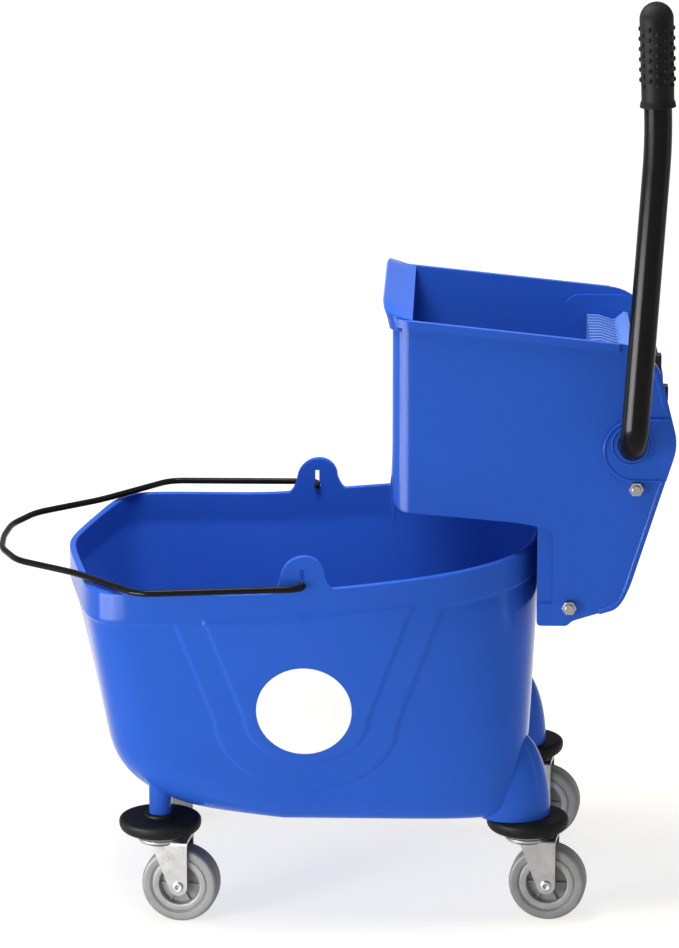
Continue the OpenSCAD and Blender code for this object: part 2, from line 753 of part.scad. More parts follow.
// Flared lip over the front wall, with its corners cut off
module front_lip() {
  tip = [hopper_front_x - lip_reach, rim_front_z + lip_rise];
  root = [hopper_front_x + lip_root, rim_front_z - lip_t / 2];
  difference() {
    across(-lip_half, lip_half) polygon([root, tip, [tip[0] - lip_t / 2, tip[1] - lip_t],
      [hopper_front_x - lip_proud, rim_front_z - lip_band],
      [hopper_front_x + hopper_wall, rim_front_z - lip_band]]);
    for (s = [-1, 1]) translate([tip[0] - lip_t / 2, s * lip_half, rim_front_z - lip_band - over])
      rotate([0, 0, 45])
        cube([lip_chamfer * sqrt(2), lip_chamfer * sqrt(2), 2 * (lip_rise + lip_band + over)],
          center = true);
  }
}

// Underside of the floor between its middle and the cheeks' front edge
function under_z(x) = seat_z + floor_low_rise
  + (floor_mid_rise - floor_low_rise) * (edge_x - x) / (cheek_edge_back - floor_mid_back);

// Wall that hooks behind the bucket's rim, between the cheeks, and the fins at its ends
module hook_wall() {
  low = seat_z - tab_low + tab_tall / 2;
  back = edge_x + hopper_wall / 2;
  tip = hook_x - tab_front;
  across(hopper_wall / 2 - hopper_half, hopper_half - hopper_wall / 2)
    polygon([[hook_x, low], [back, low], [back, under_z(edge_x) + hopper_wall / 2],
      [hook_x, under_z(hook_x) + hopper_wall / 2]]);
  for (s = [-1, 1]) on_side(s) across(hopper_half - hopper_wall, hopper_half - hopper_wall / 2)
    polygon([[tip, low], [edge_x, low], [edge_x, under_z(edge_x) + hopper_wall / 2],
      [tip, under_z(tip) + hopper_wall / 2]]);
}

// Rib under the floor that sits on the bucket's rim
seat_half = 60;
seat_rib_t = 10;
module seat_rib() {
  front = hook_x - seat_rib_t;
  back = hook_x + hopper_wall / 2;
  across(-seat_half, seat_half) polygon([[front, seat_z], [back, seat_z],
    [back, under_z(back) + hopper_wall / 4], [front, under_z(front) + hopper_wall / 2]]);
}

// Swelling low on the front wall
swell_r = 90;
swell_proud = 3.5;
swell_rise = 38;
swell_half = 64;
module front_swell() {
  intersection() {
    translate([hopper_front_x + swell_r - swell_proud, 0, seat_z + swell_rise])
      bar_y(swell_r, -swell_half, swell_half);
    translate([hopper_front_x - swell_r, -hopper_half, seat_z])
      cube([swell_r + hopper_wall / 2, 2 * hopper_half, 2 * swell_rise]);
  }
}

// Bosses outside the cheeks for the shaft: a round with a band to the back edge, and a collar
module shaft_bosses() {
  for (s = [-1, 1]) on_side(s) {
    intersection() {
      across(hopper_half, hopper_half + boss_t) translate([shaft_x + boss_back, shaft_z - boss_low]) {
        circle(boss_r);
        translate([0, -boss_r]) square([apex_behind_shaft, 2 * boss_r]);
      }
      across(hopper_half, hopper_half + boss_t) cheek_outline();
    }
    translate([shaft_x, 0, shaft_z]) bar_y(collar_r, hopper_half, hopper_half + boss_t + collar_t);
  }
}

// Pads inside the cheeks that guide the press plate's ends
guide_front = 20;
guide_round = 16;
guide_over = 21;
module plate_guides() {
  top = plate_top_z + guide_over;
  for (s = [-1, 1]) on_side(s) intersection() {
    across(hopper_in - guide_t, hopper_in)
      translate([(hook_x + guide_front + hook_x + shelf_back) / 2, (shelf_top_z() + top) / 2])
        rounded_rect(shelf_back - guide_front, top - shelf_top_z(), guide_round);
    across(hopper_in - guide_t, hopper_in) cheek_outline();
  }
}

module wringer_body() {
  color(BLUE) difference() {
    union() {
      hopper_shell();
      rim_band();
      front_lip();
      front_swell();
      hook_wall();
      seat_rib();
      shaft_bosses();
      plate_guides();
    }
    translate([shaft_x, 0, shaft_z]) {
      bar_y(bushing_r, -hopper_half - boss_t, hopper_half + boss_t);
      bar_y(tube_r + collar_gap, -hopper_half - lever_off, hopper_half + lever_off);
    }
    for (k = [0, 1]) translate([hook_x + tie_back[k], 0, seat_z + tie_rise[k]])
      bar_y(tie_r + press_gap, -hopper_half - over, hopper_half + over);
  }
}

// Slatted grate that lies in the floor's window
module drain_grate() {
  tilt = atan2(floor_front_rise - floor_mid_rise, hopper_front + floor_mid_back);
  long = (floor_window_back - floor_window_front) / cos(tilt) - 2 * rest_gap;
  wide = 2 * (hopper_in - grate_margin - rest_gap);
  slots = floor((wide - grate_bar) / (grate_bar + grate_gap));
  step = (wide - grate_bar) / slots;
  color(BLUE) translate([floor_window_front, 0, floor_z(floor_window_front)]) rotate([0, tilt, 0])
    difference() {
      translate([rest_gap, -wide / 2, 0]) cube([long, wide, grate_t]);
      for (k = [0 : slots - 1], row = [0, 1])
        translate([rest_gap + grate_bar + row * (long - grate_bar) / 2,
            grate_bar + k * step - wide / 2, -over])
          cube([(long - 3 * grate_bar) / 2, step - grate_bar, grate_t + 2 * over]);
    }
}

// Press plate: one wall with a waved hood over the drive, and ribs up its face and over the hood
function hood_line(lift) = [for (i = [0 : len(hood_back) - 1])
  [plate_back_x + hood_back[i], plate_top_z + hood_rise[i] + lift]];
function turned_back(list) = [for (i = [len(list) - 1 : -1 : 0]) list[i]];
plate_face_x = plate_back_x - plate_t;

module plate_outline() {
  polygon(concat([[plate_face_x, plate_z], [plate_face_x, plate_top_z]], hood_line(0),
    turned_back(hood_line(-hood_t)), [[plate_back_x, plate_top_z - hood_t], [plate_back_x, plate_z]]));
}

// The back of a rib lies in the middle of the wall and of the hood, and it ends at the hood's crest
module rib_outline() {
  front = plate_face_x - rib_deep;
  back = plate_face_x + plate_t / 2;
  top = hood_line(rib_deep);
  low = hood_line(-hood_t / 2);
  polygon([[front, plate_z + over], [front, plate_top_z + rib_deep], top[0], top[1], low[2], low[1], low[0],
    [back, plate_top_z - hood_t / 2], [back, plate_z + over]]);
}

module press_plate() {
  wide = rib_pitch * rib_w_share;
  gaps = floor((2 * plate_half - wide) / rib_pitch);
  color(BLUE) difference() {
    union() {
      across(-plate_half, plate_half) plate_outline();
      for (k = [0 : gaps]) translate([0, (k - gaps / 2) * rib_pitch, 0])
        across(-wide / 2, wide / 2) rib_outline();
    }
    for (s = [-1, 1], z = rack_screw_zs) translate([plate_back_x - screw_deep, s * gear_y, z])
      rotate([0, 90, 0]) cylinder(r = screw_r + press_gap, h = screw_deep + over);
  }
}

// Racks above the pinions, each with a foot screwed to the plate's back
rack_root_z = rack_z + gear_module * tooth_dedendum_share;
rack_top_z = rack_root_z + rack_bar;
rack_foot_z = rack_root_z + rack_foot_tall;
rack_screw_zs = [rack_top_z + screw_head_r + rest_gap, rack_foot_z - screw_head_r];

module rack(s) {
  add = gear_module * tooth_addendum_share;
  half = tooth_pitch / 4 - tooth_play / 4;
  lean = tan(pressure_angle);
  tip = half - add * lean;
  root = half + (rack_root_z - rack_z) * lean;
  tail = shaft_x + press_travel + rack_tail;
  first = ceil((plate_back_x - shaft_x) / tooth_pitch);
  count = floor((tail - shaft_x) / tooth_pitch - 0.5);
  color(BLACK) difference() {
    across(s * gear_y - gear_w / 2, s * gear_y + gear_w / 2) polygon(concat(
      [[plate_back_x, rack_foot_z], [plate_back_x, rack_root_z]],
      [for (k = [first : count]) let (c = shaft_x + (k + 0.5) * tooth_pitch) each [[c - root, rack_root_z],
        [c - tip, rack_z - add], [c + tip, rack_z - add], [c + root, rack_root_z]]],
      [[tail, rack_root_z], [tail, rack_top_z], [plate_back_x + rack_foot_t, rack_top_z],
       [plate_back_x + rack_foot_t, rack_foot_z]]));
    for (z = rack_screw_zs) translate([plate_back_x - over, s * gear_y, z]) rotate([0, 90, 0])
      cylinder(r = screw_r + press_gap, h = rack_foot_t + 2 * over);
  }
}

module rack_screws() {
  color(STEEL) for (s = [-1, 1], z = rack_screw_zs)
    translate([plate_back_x - screw_deep + rest_gap, s * gear_y, z]) rotate([0, 90, 0]) {
      cylinder(r = screw_r, h = screw_deep - rest_gap + rack_foot_t);
      translate([0, 0, screw_deep - rest_gap + rack_foot_t]) cylinder(r = screw_head_r, h = screw_head_t);
    }
}

// Lever: one bent tube that is the shaft too
shaft_bend_y = lever_y + elbow_r;
tube_top = crank_drop - grip_r;

// The upper part of the lever, turned forward by the crank
module at_crank() {
  translate([0, lever_y, crank_rise]) rotate([0, -crank_turn, 0]) children();
}

module lever_core(r, grow) {
  bar_y(r, shaft_bend_y, shaft_far_y + grow);
  translate([0, shaft_bend_y, elbow_r]) rotate([0, 90, 0])
    rotate_extrude(angle = -90) translate([elbow_r, 0]) circle(r);
  translate([0, lever_y, elbow_r]) cylinder(r = r, h = crank_rise - elbow_r);
  translate([0, lever_y, crank_rise]) sphere(r + crank_bead);
  at_crank() cylinder(r = r, h = tube_top + grow);
}

module at_shaft() {
  translate([shaft_x, 0, shaft_z]) rotate([0, lever_lean, 0]) children();
}

pin_y = gear_y + gear_w / 2 + pinion_hub_w / 2;
module pin_holes() {
  for (s = [-1, 1]) translate([0, s * pin_y, 0])
    cylinder(r = pin_r + press_gap, h = 2 * pinion_hub_r + 2 * over, center = true);
}

module lever_tube() {
  color(BLACK) at_shaft() difference() {
    lever_core(tube_r, 0);
    lever_core(tube_r - tube_wall, over);
    pin_holes();
  }
}

module lever_grip() {
  dome = grip_r;
  low = crank_drop - grip_len;
  color(BLACK) at_shaft() at_crank() difference() {
    union() {
      translate([0, 0, low]) cylinder(r = grip_r, h = grip_len - dome);
      translate([0, 0, crank_drop - dome]) sphere(dome);
      translate([0, 0, low]) cylinder(r = grip_r + grip_lip, h = grip_lip_tall);
    }
    translate([0, 0, low - over]) cylinder(r = tube_r + press_gap, h = tube_top - low + over);
  }
}

// Pinions with involute teeth, a hub and a cross pin
function involute(r) = let (a = acos(gear_base_r / r)) tan(a) * 180 / PI - a;
function flank(r) = tooth_turn / 4 - tooth_play / (4 * pitch_r) * 180 / PI
  + involute(pitch_r) - involute(max(r, gear_base_r));
flank_steps = 4;
flank_radii = [for (k = [0 : flank_steps]) gear_base_r + (gear_tip_r - gear_base_r) * k / flank_steps];
gear_radii = concat([gear_root_r], flank_radii);
module pinion_outline() {
  polygon([for (t = [0 : gear_teeth - 1]) let (mid = first_tooth + t * tooth_turn) each concat(
    [for (r = gear_radii) [r * cos(mid - flank(r)), r * sin(mid - flank(r))]],
    [for (k = [len(gear_radii) - 1 : -1 : 0]) let (r = gear_radii[k])
      [r * cos(mid + flank(r)), r * sin(mid + flank(r))]])]);
}

module pinion(s) {
  outer = gear_y + gear_w / 2;
  color(BLACK) difference() {
    translate([shaft_x, 0, shaft_z]) on_side(s) {
      across(outer - gear_w, outer) pinion_outline();
      bar_y(pinion_hub_r, outer, outer + pinion_hub_w);
    }
    translate([shaft_x, 0, shaft_z]) bar_y(tube_r + press_gap, -hopper_half, hopper_half);
    at_shaft() pin_holes();
  }
}

module pinion_pins() {
  color(STEEL) at_shaft() for (s = [-1, 1]) translate([0, s * pin_y, 0])
    cylinder(r = pin_r, h = 2 * pinion_hub_r, center = true);
}

// Flanged bushings pressed into the cheeks from inside, behind the collars
module shaft_bushing(s) {
  inner = hopper_in - guide_t;
  color(BLACK) translate([shaft_x, 0, shaft_z]) on_side(s) difference() {
    union() {
      bar_y(bushing_r - press_gap, inner, hopper_half + boss_t - press_gap);
      bar_y(bushing_flange_r, inner - bushing_flange_t, inner);
    }
    bar_y(tube_r + run_gap, -hopper_half - lever_off, hopper_half + lever_off);
  }
}

module shaft_cap() {
  color(BLACK) translate([shaft_x, 0, shaft_z]) {
    bar_y(cap_r, shaft_far_y, shaft_far_y + cap_t);
    bar_y(tube_r - tube_wall - press_gap, shaft_far_y - cap_t, shaft_far_y);
  }
}

// Tie rods across the cheeks, each with a head on the far side and a nut on the near side
module at_tie(k) {
  translate([hook_x + tie_back[k], 0, seat_z + tie_rise[k]]) children();
}

module tie_rods() {
  color(STEEL) for (k = [0, 1]) at_tie(k) {
    bar_y(tie_r, -hopper_half - nut_t - axle_tail, hopper_half);
    bar_y(tie_head_r, hopper_half, hopper_half + tie_head_t);
  }
}

module tie_nuts() {
  color(STEEL) for (k = [0, 1]) at_tie(k) translate([0, -hopper_half, 0]) rotate([90, 0, 0]) difference() {
    cylinder(r = nut_r, h = nut_t, $fn = 6);
    translate([0, 0, -over]) cylinder(r = tie_r + press_gap, h = nut_t + 2 * over);
  }
}

// Torsion spring between the far pinion and the far cheek
spring_path = concat(
  [[spring_coil_r, 0, -spring_leg]],
  [for (k = [0 : spring_turns * spring_rings]) let (a = 360 * k / spring_rings)
    [spring_coil_r * cos(a), spring_pitch * k / spring_rings, spring_coil_r * sin(a)]],
  [[spring_coil_r, spring_pitch * spring_turns, spring_leg]]);
spring_self_gap = min([for (i = [0 : len(spring_path) - 1], j = [i + 4 : 1 : len(spring_path) - 1])
  norm(spring_path[i] - spring_path[j])]) - 2 * spring_wire_r;
echo(spring_self_gap = spring_self_gap);

module return_spring() {
  color(STEEL) translate([shaft_x, spring_y, shaft_z])
    tube_along(spring_path, spring_wire_r, spring_sides, [0, 1, 0]);
}

module placed() {
  translate([-origin_x, 0, 0]) children();
}

placed() bucket();
placed() bail_handle();
placed() bumper(0);  // bumper_front_near
placed() bumper(1);  // bumper_front_far
placed() bumper(2);  // bumper_back_near
placed() bumper(3);  // bumper_back_far
placed() stem(0);  // stem_front_near
placed() stem(1);  // stem_front_far
placed() stem(2);  // stem_back_near
placed() stem(3);  // stem_back_far
placed() fork(0);  // fork_front_near
placed() fork(1);  // fork_front_far
placed() fork(2);  // fork_back_near
placed() fork(3);  // fork_back_far
placed() axle(0);  // axle_front_near
placed() axle(1);  // axle_front_far
placed() axle(2);  // axle_back_near
placed() axle(3);  // axle_back_far
placed() tyre(0);  // tyre_front_near
placed() tyre(1);  // tyre_front_far
placed() tyre(2);  // tyre_back_near
placed() tyre(3);  // tyre_back_far
placed() hub(0);  // hub_front_near
placed() hub(1);  // hub_front_far
placed() hub(2);  // hub_back_near
placed() hub(3);  // hub_back_far
placed() wringer_body();
placed() drain_grate();
placed() press_plate();
placed() rack(-1);  // rack_near
placed() rack(1);  // rack_far
placed() rack_screws();
placed() lever_tube();
placed() lever_grip();
placed() pinion(-1);  // pinion_near
placed() pinion(1);  // pinion_far
placed() pinion_pins();
placed() shaft_bushing(-1);  // shaft_bushing_near
placed() shaft_bushing(1);  // shaft_bushing_far
placed() shaft_cap();
placed() tie_rods();
placed() tie_nuts();
placed() return_spring();
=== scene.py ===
"""Looks of a wheeled mop bucket with a side press wringer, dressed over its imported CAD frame.

Lengths are in millimetres in the frame of the CAD model, and become metres when a mesh is made.
"""
import math

import bmesh
import bpy
import numpy as np
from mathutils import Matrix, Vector
from mathutils.bvhtree import BVHTree


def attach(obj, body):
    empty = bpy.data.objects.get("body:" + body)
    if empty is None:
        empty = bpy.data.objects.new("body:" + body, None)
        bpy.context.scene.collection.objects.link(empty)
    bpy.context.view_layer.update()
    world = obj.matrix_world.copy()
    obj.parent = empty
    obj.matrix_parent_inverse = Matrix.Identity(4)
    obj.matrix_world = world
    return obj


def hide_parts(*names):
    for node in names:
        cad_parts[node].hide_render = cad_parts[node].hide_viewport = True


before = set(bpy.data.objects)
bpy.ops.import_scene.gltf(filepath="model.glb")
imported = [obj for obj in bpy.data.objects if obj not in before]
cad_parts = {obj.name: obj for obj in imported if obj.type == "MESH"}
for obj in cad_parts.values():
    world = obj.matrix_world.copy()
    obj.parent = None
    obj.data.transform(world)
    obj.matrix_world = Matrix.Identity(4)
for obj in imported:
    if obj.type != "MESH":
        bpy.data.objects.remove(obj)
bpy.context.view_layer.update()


# ---------------------------------------------------------------- Bucket
# One injection moulding in blue polypropylene: an oval well with a band round its rim, two ears for the
# bail, stepped U panels on the long sides, two round front posts and two domed back legs.

MM = 0.001
bucket_mid_x, bucket_base_z, bucket_wall = -44.4, 105.0, 4.0
base_front, base_back, base_half, base_fillet, front_fillet = 166.0, 234.0, 160.0, 20.0, 74.0
wall_front, wall_back, wall_half = 214.5, 247.5, 195.5
rim_turn_x, rim_back_x, rim_z, rim_back_lift, rim_ease = -64.4, 205.6, 344.0, 27.0, 0.15
band_tall, band_proud, rim_round = 31.0, 2.5, 2.0
front_power, back_power = (5.7, 12.0), (8.0, 3.2)
prow, prow_shares, nose_ease = 42.0, (0.3, 1.0), 0.15
ear_x, ear_r, ear_lift, ear_fillet = -23.4, 21.0, 13.0, 9.0
ear_hole_z, ear_hole_r, ear_slot_w, ear_slot_tall = 353.1, 3.5, 4.0, 16.0
panel_half, panel_drop, panel_low = (90.0, 62.0), (70.0, 45.0), (36.0, 66.0)
panel_mid_x, panel_flare, panel_ramp, panel_step = -20.4, 0.36, 6.0, 2.5
band_under, band_foot = 3.0, 2.0
band_step = ((-1.9, 0.04), (-1.1, 0.16), (-0.4, 0.42), (0.3, 0.7), (1.0, 0.9), (1.8, 1.0))
side_stations, end_stations, ear_stations, foot_stations = 320, 60, 44, 9
ear_gap, ear_turn_gap, station_gap = 0.2, 0.02, 0.005
wall_rings, band_rings, inner_rings, fillet_rings, rim_rings, first_ring, ear_fade = 150, 12, 40, 12, 6, 0.12, 6


def moulded(name, points, faces):
    """A mesh object from points in millimetres, with its faces turned outwards."""
    mesh = bpy.data.meshes.new(name)
    mesh.from_pydata((np.asarray(points, float) * MM).tolist(), [], [list(map(int, f)) for f in faces])
    shape = bmesh.new()
    shape.from_mesh(mesh)
    bmesh.ops.recalc_face_normals(shape, faces=shape.faces)
    shape.to_mesh(mesh)
    shape.free()
    made = bpy.data.objects.new(name, mesh)
    bpy.context.scene.collection.objects.link(made)
    return made


def settled(made):
    """The object with its modifiers worked into its mesh."""
    bpy.context.view_layer.update()
    shown = made.evaluated_get(bpy.context.evaluated_depsgraph_get())
    mesh = bpy.data.meshes.new_from_object(shown)
    made.modifiers.clear()
    made.data = mesh
    return made


def combined(made, others, operation):
    """Joins other solids to this one, or cuts them out of it."""
    for other in others:
        joint = made.modifiers.new("joint", "BOOLEAN")
        joint.operation, joint.object, joint.solver = operation, other, "EXACT"
        settled(made)
        bpy.data.objects.remove(other)
    return made


def rounded(made, width, segments=3, angle=38):
    """Eases every edge sharper than the angle, as a mould's edges are."""
    ease = made.modifiers.new("ease", "BEVEL")
    ease.width, ease.segments, ease.limit_method = width * MM, segments, "ANGLE"
    ease.angle_limit, ease.miter_outer = math.radians(angle), "MITER_ARC"
    return settled(made)


def dressed(made, body, finish, slot, *nodes, sharp=35):
    """Gives a piece its shading, finish and body, and lets it stand for CAD nodes. Its slot is not used."""
    made.data.materials.clear()
    made.data.materials.append(finish)
    made.data.polygons.foreach_set("use_smooth", [True] * len(made.data.polygons))
    made.data.set_sharp_from_angle(angle=math.radians(sharp))
    flats = made.modifiers.new("flats", "WEIGHTED_NORMAL")
    flats.keep_sharp = True
    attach(made, body)
    if nodes:
        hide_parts(*nodes)
    return made


def turned(profile, centre, axis, sides=64, closed=False):
    """Points and faces of a lathe form: radii and places along an axis."""
    axis = Vector(axis).normalized()
    side = axis.orthogonal().normalized()
    other = axis.cross(side)
    points, rows = [], []
    for radius, along in profile:
        start = len(points)
        for k in range(sides if radius > 0 else 1):
            turn = 2 * math.pi * k / sides
            reach = side * math.cos(turn) + other * math.sin(turn)
            points.append(Vector(centre) + axis * along + reach * radius)
        rows.append(list(range(start, len(points))))
    faces = []
    pairs = list(zip(rows, rows[1:])) + ([(rows[-1], rows[0])] if closed else [])
    for low, high in pairs:
        for k in range(sides):
            m = (k + 1) % sides
            ring = [low[k % len(low)], low[m % len(low)], high[m % len(high)], high[k % len(high)]]
            face = list(dict.fromkeys(ring))
            if len(face) > 2:
                faces.append(face)
    return points, faces


def arc(cx, cy, r, start, end, steps):
    """Points of an arc in a profile, angles in degrees."""
    turns = np.radians(np.linspace(start, end, steps))
    return [(cx + r * math.cos(t), cy + r * math.sin(t)) for t in turns]


def prism(outline, low, high, axis=1):
    """Points and faces of an outline drawn across one axis and pushed along it."""
    points = [Vector(np.insert(p, axis, end)) for end in (low, high) for p in np.asarray(outline, float)]
    n = len(outline)
    faces = [list(range(n))[::-1], list(range(n, 2 * n))]
    faces += [[k, (k + 1) % n, n + (k + 1) % n, n + k] for k in range(n)]
    return points, faces


class Wire:
    """One output of a shader node. Sums of wires become Math nodes."""

    def __init__(self, tree, socket=None):
        self.tree, self.socket = tree, socket

    def node(self, kind, settings=None, sockets=None, output=0):
        """Any node: its type, its settings, and the values or wires of its sockets."""
        made = self.tree.nodes.new(kind)
        for key, value in (settings or {}).items():
            setattr(made, key, value)
        for key, value in (sockets or {}).items():
            if isinstance(value, Wire):
                self.tree.links.new(value.socket, made.inputs[key])
            else:
                made.inputs[key].default_value = value
        return Wire(self.tree, made.outputs[output]) if made.outputs else None

    def math(self, operation, first, second=0.0):
        return self.node("ShaderNodeMath", {"operation": operation}, {0: first, 1: second})

    def __add__(self, other):
        return self.math("ADD", self, other)

    def __sub__(self, other):
        return self.math("SUBTRACT", self, other)

    def __rsub__(self, other):
        return self.math("SUBTRACT", other, self)

    def __mul__(self, other):
        return self.math("MULTIPLY", self, other)

    __radd__, __rmul__ = __add__, __mul__

    def above(self, low, high):
        """0 under low, 1 over high, and straight between them."""
        return self.node("ShaderNodeMapRange", {"clamp": True}, {0: self, 1: low, 2: high, 3: 0.0, 4: 1.0})

    def grain(self, scale, detail=2.0, rough=0.5, stretch=(1, 1, 1)):
        """Noise over the piece's own coordinates, in cells to the metre."""
        place = self.node("ShaderNodeTexCoord", output="Object")
        if stretch != (1, 1, 1):
            place = self.node("ShaderNodeMapping", {}, {"Vector": place, "Scale": stretch})
        sockets = {"Vector": place, "Scale": scale, "Detail": detail, "Roughness": rough}
        return self.node("ShaderNodeTexNoise", {}, sockets)

    def blended(self, plain, tinted):
        """A colour between two, by this wire."""
        return self.node("ShaderNodeMix", {"data_type": "RGBA"}, {0: self, 6: plain, 7: tinted}, 2)

    def bumped(self, distance, strength=1.0):
        """A normal raised by this wire."""
        return self.node("ShaderNodeBump", {}, {"Height": self, "Distance": distance, "Strength": strength})


def finish_of(name):
    """A new finish and the wire that its nodes start from."""
    finish = bpy.data.materials.new(name)
    finish.use_nodes = True
    finish.node_tree.nodes.clear()
    return finish, Wire(finish.node_tree)


def shaded(start, sockets):
    """Ends a finish with its shader."""
    skin = start.node("ShaderNodeBsdfPrincipled", {}, sockets)
    start.node("ShaderNodeOutputMaterial", {}, {"Surface": skin})


def plan_points(ways, share, inset):
    """Plan of the bucket's skin at a share of its height, drawn in by an inset, for each station."""
    behind = ways[:, 0] > 0
    mix = lambda pair: pair[0] + (pair[1] - pair[0]) * share
    power = np.where(behind, mix(back_power), mix(front_power))
    long = np.where(behind, mix((base_back, wall_back)), mix((base_front, wall_front))) - inset
    wide = mix((base_half, wall_half)) - inset
    size = (np.abs(ways[:, 0]) ** power + np.abs(ways[:, 1]) ** power) ** (-1 / power)
    nose = np.sqrt((size * ways[:, 1]) ** 2 + nose_ease ** 2) - nose_ease
    long = long - np.where(behind, 0, prow * mix(prow_shares) * nose)
    return np.stack([bucket_mid_x + long * size * ways[:, 0], wide * size * ways[:, 1]], 1)


def rim_height(x):
    """Level at the front, then a straight rise to the back, with the turn eased."""
    s = (x - rim_turn_x) / (rim_back_x - rim_turn_x)
    eased = np.maximum(s + rim_ease, 0) ** 2 / (4 * rim_ease)
    return rim_z + rim_back_lift * np.where(s < rim_ease, eased, s)


def ear_rise(x):
    """How far the two ears stand over the rim, with a fillet at each foot."""
    off = np.abs(x - ear_x)
    top = ear_lift + np.sqrt(np.maximum(ear_r ** 2 - off ** 2, 0))
    foot = ear_lift * np.clip(1 - (off - ear_r) / ear_fillet, 0, 1) ** 2
    return np.where(off <= ear_r, top, foot)


def panel_out(x, height):
    """How far the two terraces of a U panel stand out of the wall."""
    out = np.zeros_like(x)
    for half, drop, low in zip(panel_half, panel_drop, panel_low):
        up = height - low - drop
        bowl = half * np.sqrt(np.clip(1 - (np.minimum(up, 0) / drop) ** 2, 0, 1))
        width = np.where(up >= 0, half + panel_flare * up, np.where(up > -drop, bowl, -panel_ramp))
        ease = np.clip((width - np.abs(x - panel_mid_x)) / panel_ramp, 0, 1)
        out += panel_step * ease * ease * (3 - 2 * ease)
    return out


def stations():
    """Directions round the plan: along the sides, closer at the ears, and round the ends."""
    side = np.linspace(1, -1, side_stations)
    pulled = prow * (math.hypot(1, nose_ease) - nose_ease)
    reach = lambda dx: np.where(dx > 0, dx / wall_back, dx / (wall_front - pulled))
    ear_off = np.concatenate([
        np.linspace(ear_r + ear_fillet, ear_r + ear_gap, foot_stations),
        ear_r * np.cos(np.linspace(ear_turn_gap, math.pi - ear_turn_gap, ear_stations)),
        -np.linspace(ear_r + ear_gap, ear_r + ear_fillet, foot_stations)])
    ear_way = reach(ear_off + ear_x - bucket_mid_x)
    keep = (side > ear_way.max() + station_gap) | (side < ear_way.min() - station_gap)
    side = np.sort(np.concatenate([side[keep], ear_way]))[::-1]
    end = np.linspace(1, -1, end_stations)[1:-1]
    one = np.ones_like
    return np.concatenate([
        np.stack([side, one(side)], 1), np.stack([-one(end), end], 1),
        np.stack([side[::-1], -one(side)], 1), np.stack([one(end), end[::-1]], 1)])


def bucket_skin():
    """Rings of the bucket from its base, up the outside, over the rim and down to its floor."""
    ways = stations()
    level = np.ones(len(ways))
    rim_x = plan_points(ways, level, 0)[:, 0]
    top = rim_height(rim_x)
    ear = np.where(np.abs(ways[:, 1]) == 1, ear_rise(rim_x), 0)
    fillet = base_fillet + (front_fillet - base_fillet) * np.maximum(-ways[:, 0], 0)
    band_z = top - band_tall
    rings = []

    def ring(z, inset, panel=False):
        share = np.minimum((z - bucket_base_z) / (band_z - bucket_base_z), 1)
        flat = plan_points(ways, share, inset)
        if panel:
            plain = plan_points(ways, share, 0)
            out = np.where(np.abs(ways[:, 1]) == 1, panel_out(plain[:, 0], z - bucket_base_z), 0)
            flat[:, 1] = np.sign(ways[:, 1]) * np.maximum(np.abs(flat[:, 1]), np.abs(plain[:, 1]) + out)
        rings.append(np.column_stack([flat, z]))

    def rim(inset, drop):
        rings.append(np.column_stack([plan_points(ways, level, inset), top + ear - drop]))

    for a in np.linspace(0, math.pi / 2, fillet_rings)[:-1]:
        ring(bucket_base_z + fillet * (1 - math.cos(a)), fillet * (1 - math.sin(a)))
    low, high = bucket_base_z + fillet, band_z - band_under
    for s in np.linspace(0, 1, wall_rings):
        ring(low + (high - low) * s, 0, panel=True)
    for rise, share in band_step:
        ring(band_z + rise, -band_proud * share, panel=True)
    for s in np.linspace(first_ring, 1, band_rings):
        flat = plan_points(ways, level, -band_proud)
        up = band_foot + (band_tall - band_foot - rim_round + ear) * s
        rings.append(np.column_stack([flat, band_z + up]))
    for a in np.linspace(0, math.pi / 2, rim_rings)[1:]:
        rim(rim_round * (1 - math.cos(a)) - band_proud, rim_round * (1 - math.sin(a)))
    for a in np.linspace(math.pi / 2, 0, rim_rings):
        rim(bucket_wall - rim_round * (1 - math.cos(a)), rim_round * (1 - math.sin(a)))
    floor_fillet = fillet - bucket_wall
    low = bucket_base_z + bucket_wall + floor_fillet
    for s in np.linspace(first_ring, 1, inner_rings):
        start = top + (ear - rim_round) * (1 - s) ** ear_fade * (ear > 0) - band_under
        ring(start + (low - start) * s, bucket_wall)
    for a in np.linspace(math.pi / 2, 0, fillet_rings)[1:]:
        ring(bucket_base_z + bucket_wall + floor_fillet * (1 - math.cos(a)),
             bucket_wall + floor_fillet * (1 - math.sin(a)))
    return np.array(rings)


def ringed(rings):
    """Points and faces of closed rings stacked into a solid."""
    count, n = rings.shape[:2]
    faces = [list(range(n))[::-1], list(range((count - 1) * n, count * n))]
    for i in range(count - 1):
        for k in range(n):
            m = (k + 1) % n
            faces.append([i * n + k, i * n + m, (i + 1) * n + m, (i + 1) * n + k])
    return rings.reshape(-1, 3), faces


caster_places = {"front_near": (-164.4, -137.0), "front_far": (-164.4, 137.0),
                 "back_near": (192.6, -122.0), "back_far": (192.6, 122.0)}
post_r, post_z, post_tall = 10.75, 104.0, 70.0
leg_r, leg_tall, leg_ahead, leg_in, leg_foot = 37.0, 84.0, 15.0, 7.0, ((1.5, 0.0), (0.3, 0.6))
room_share, room_lift, ear_cut = 0.995, 0.8, 220.0

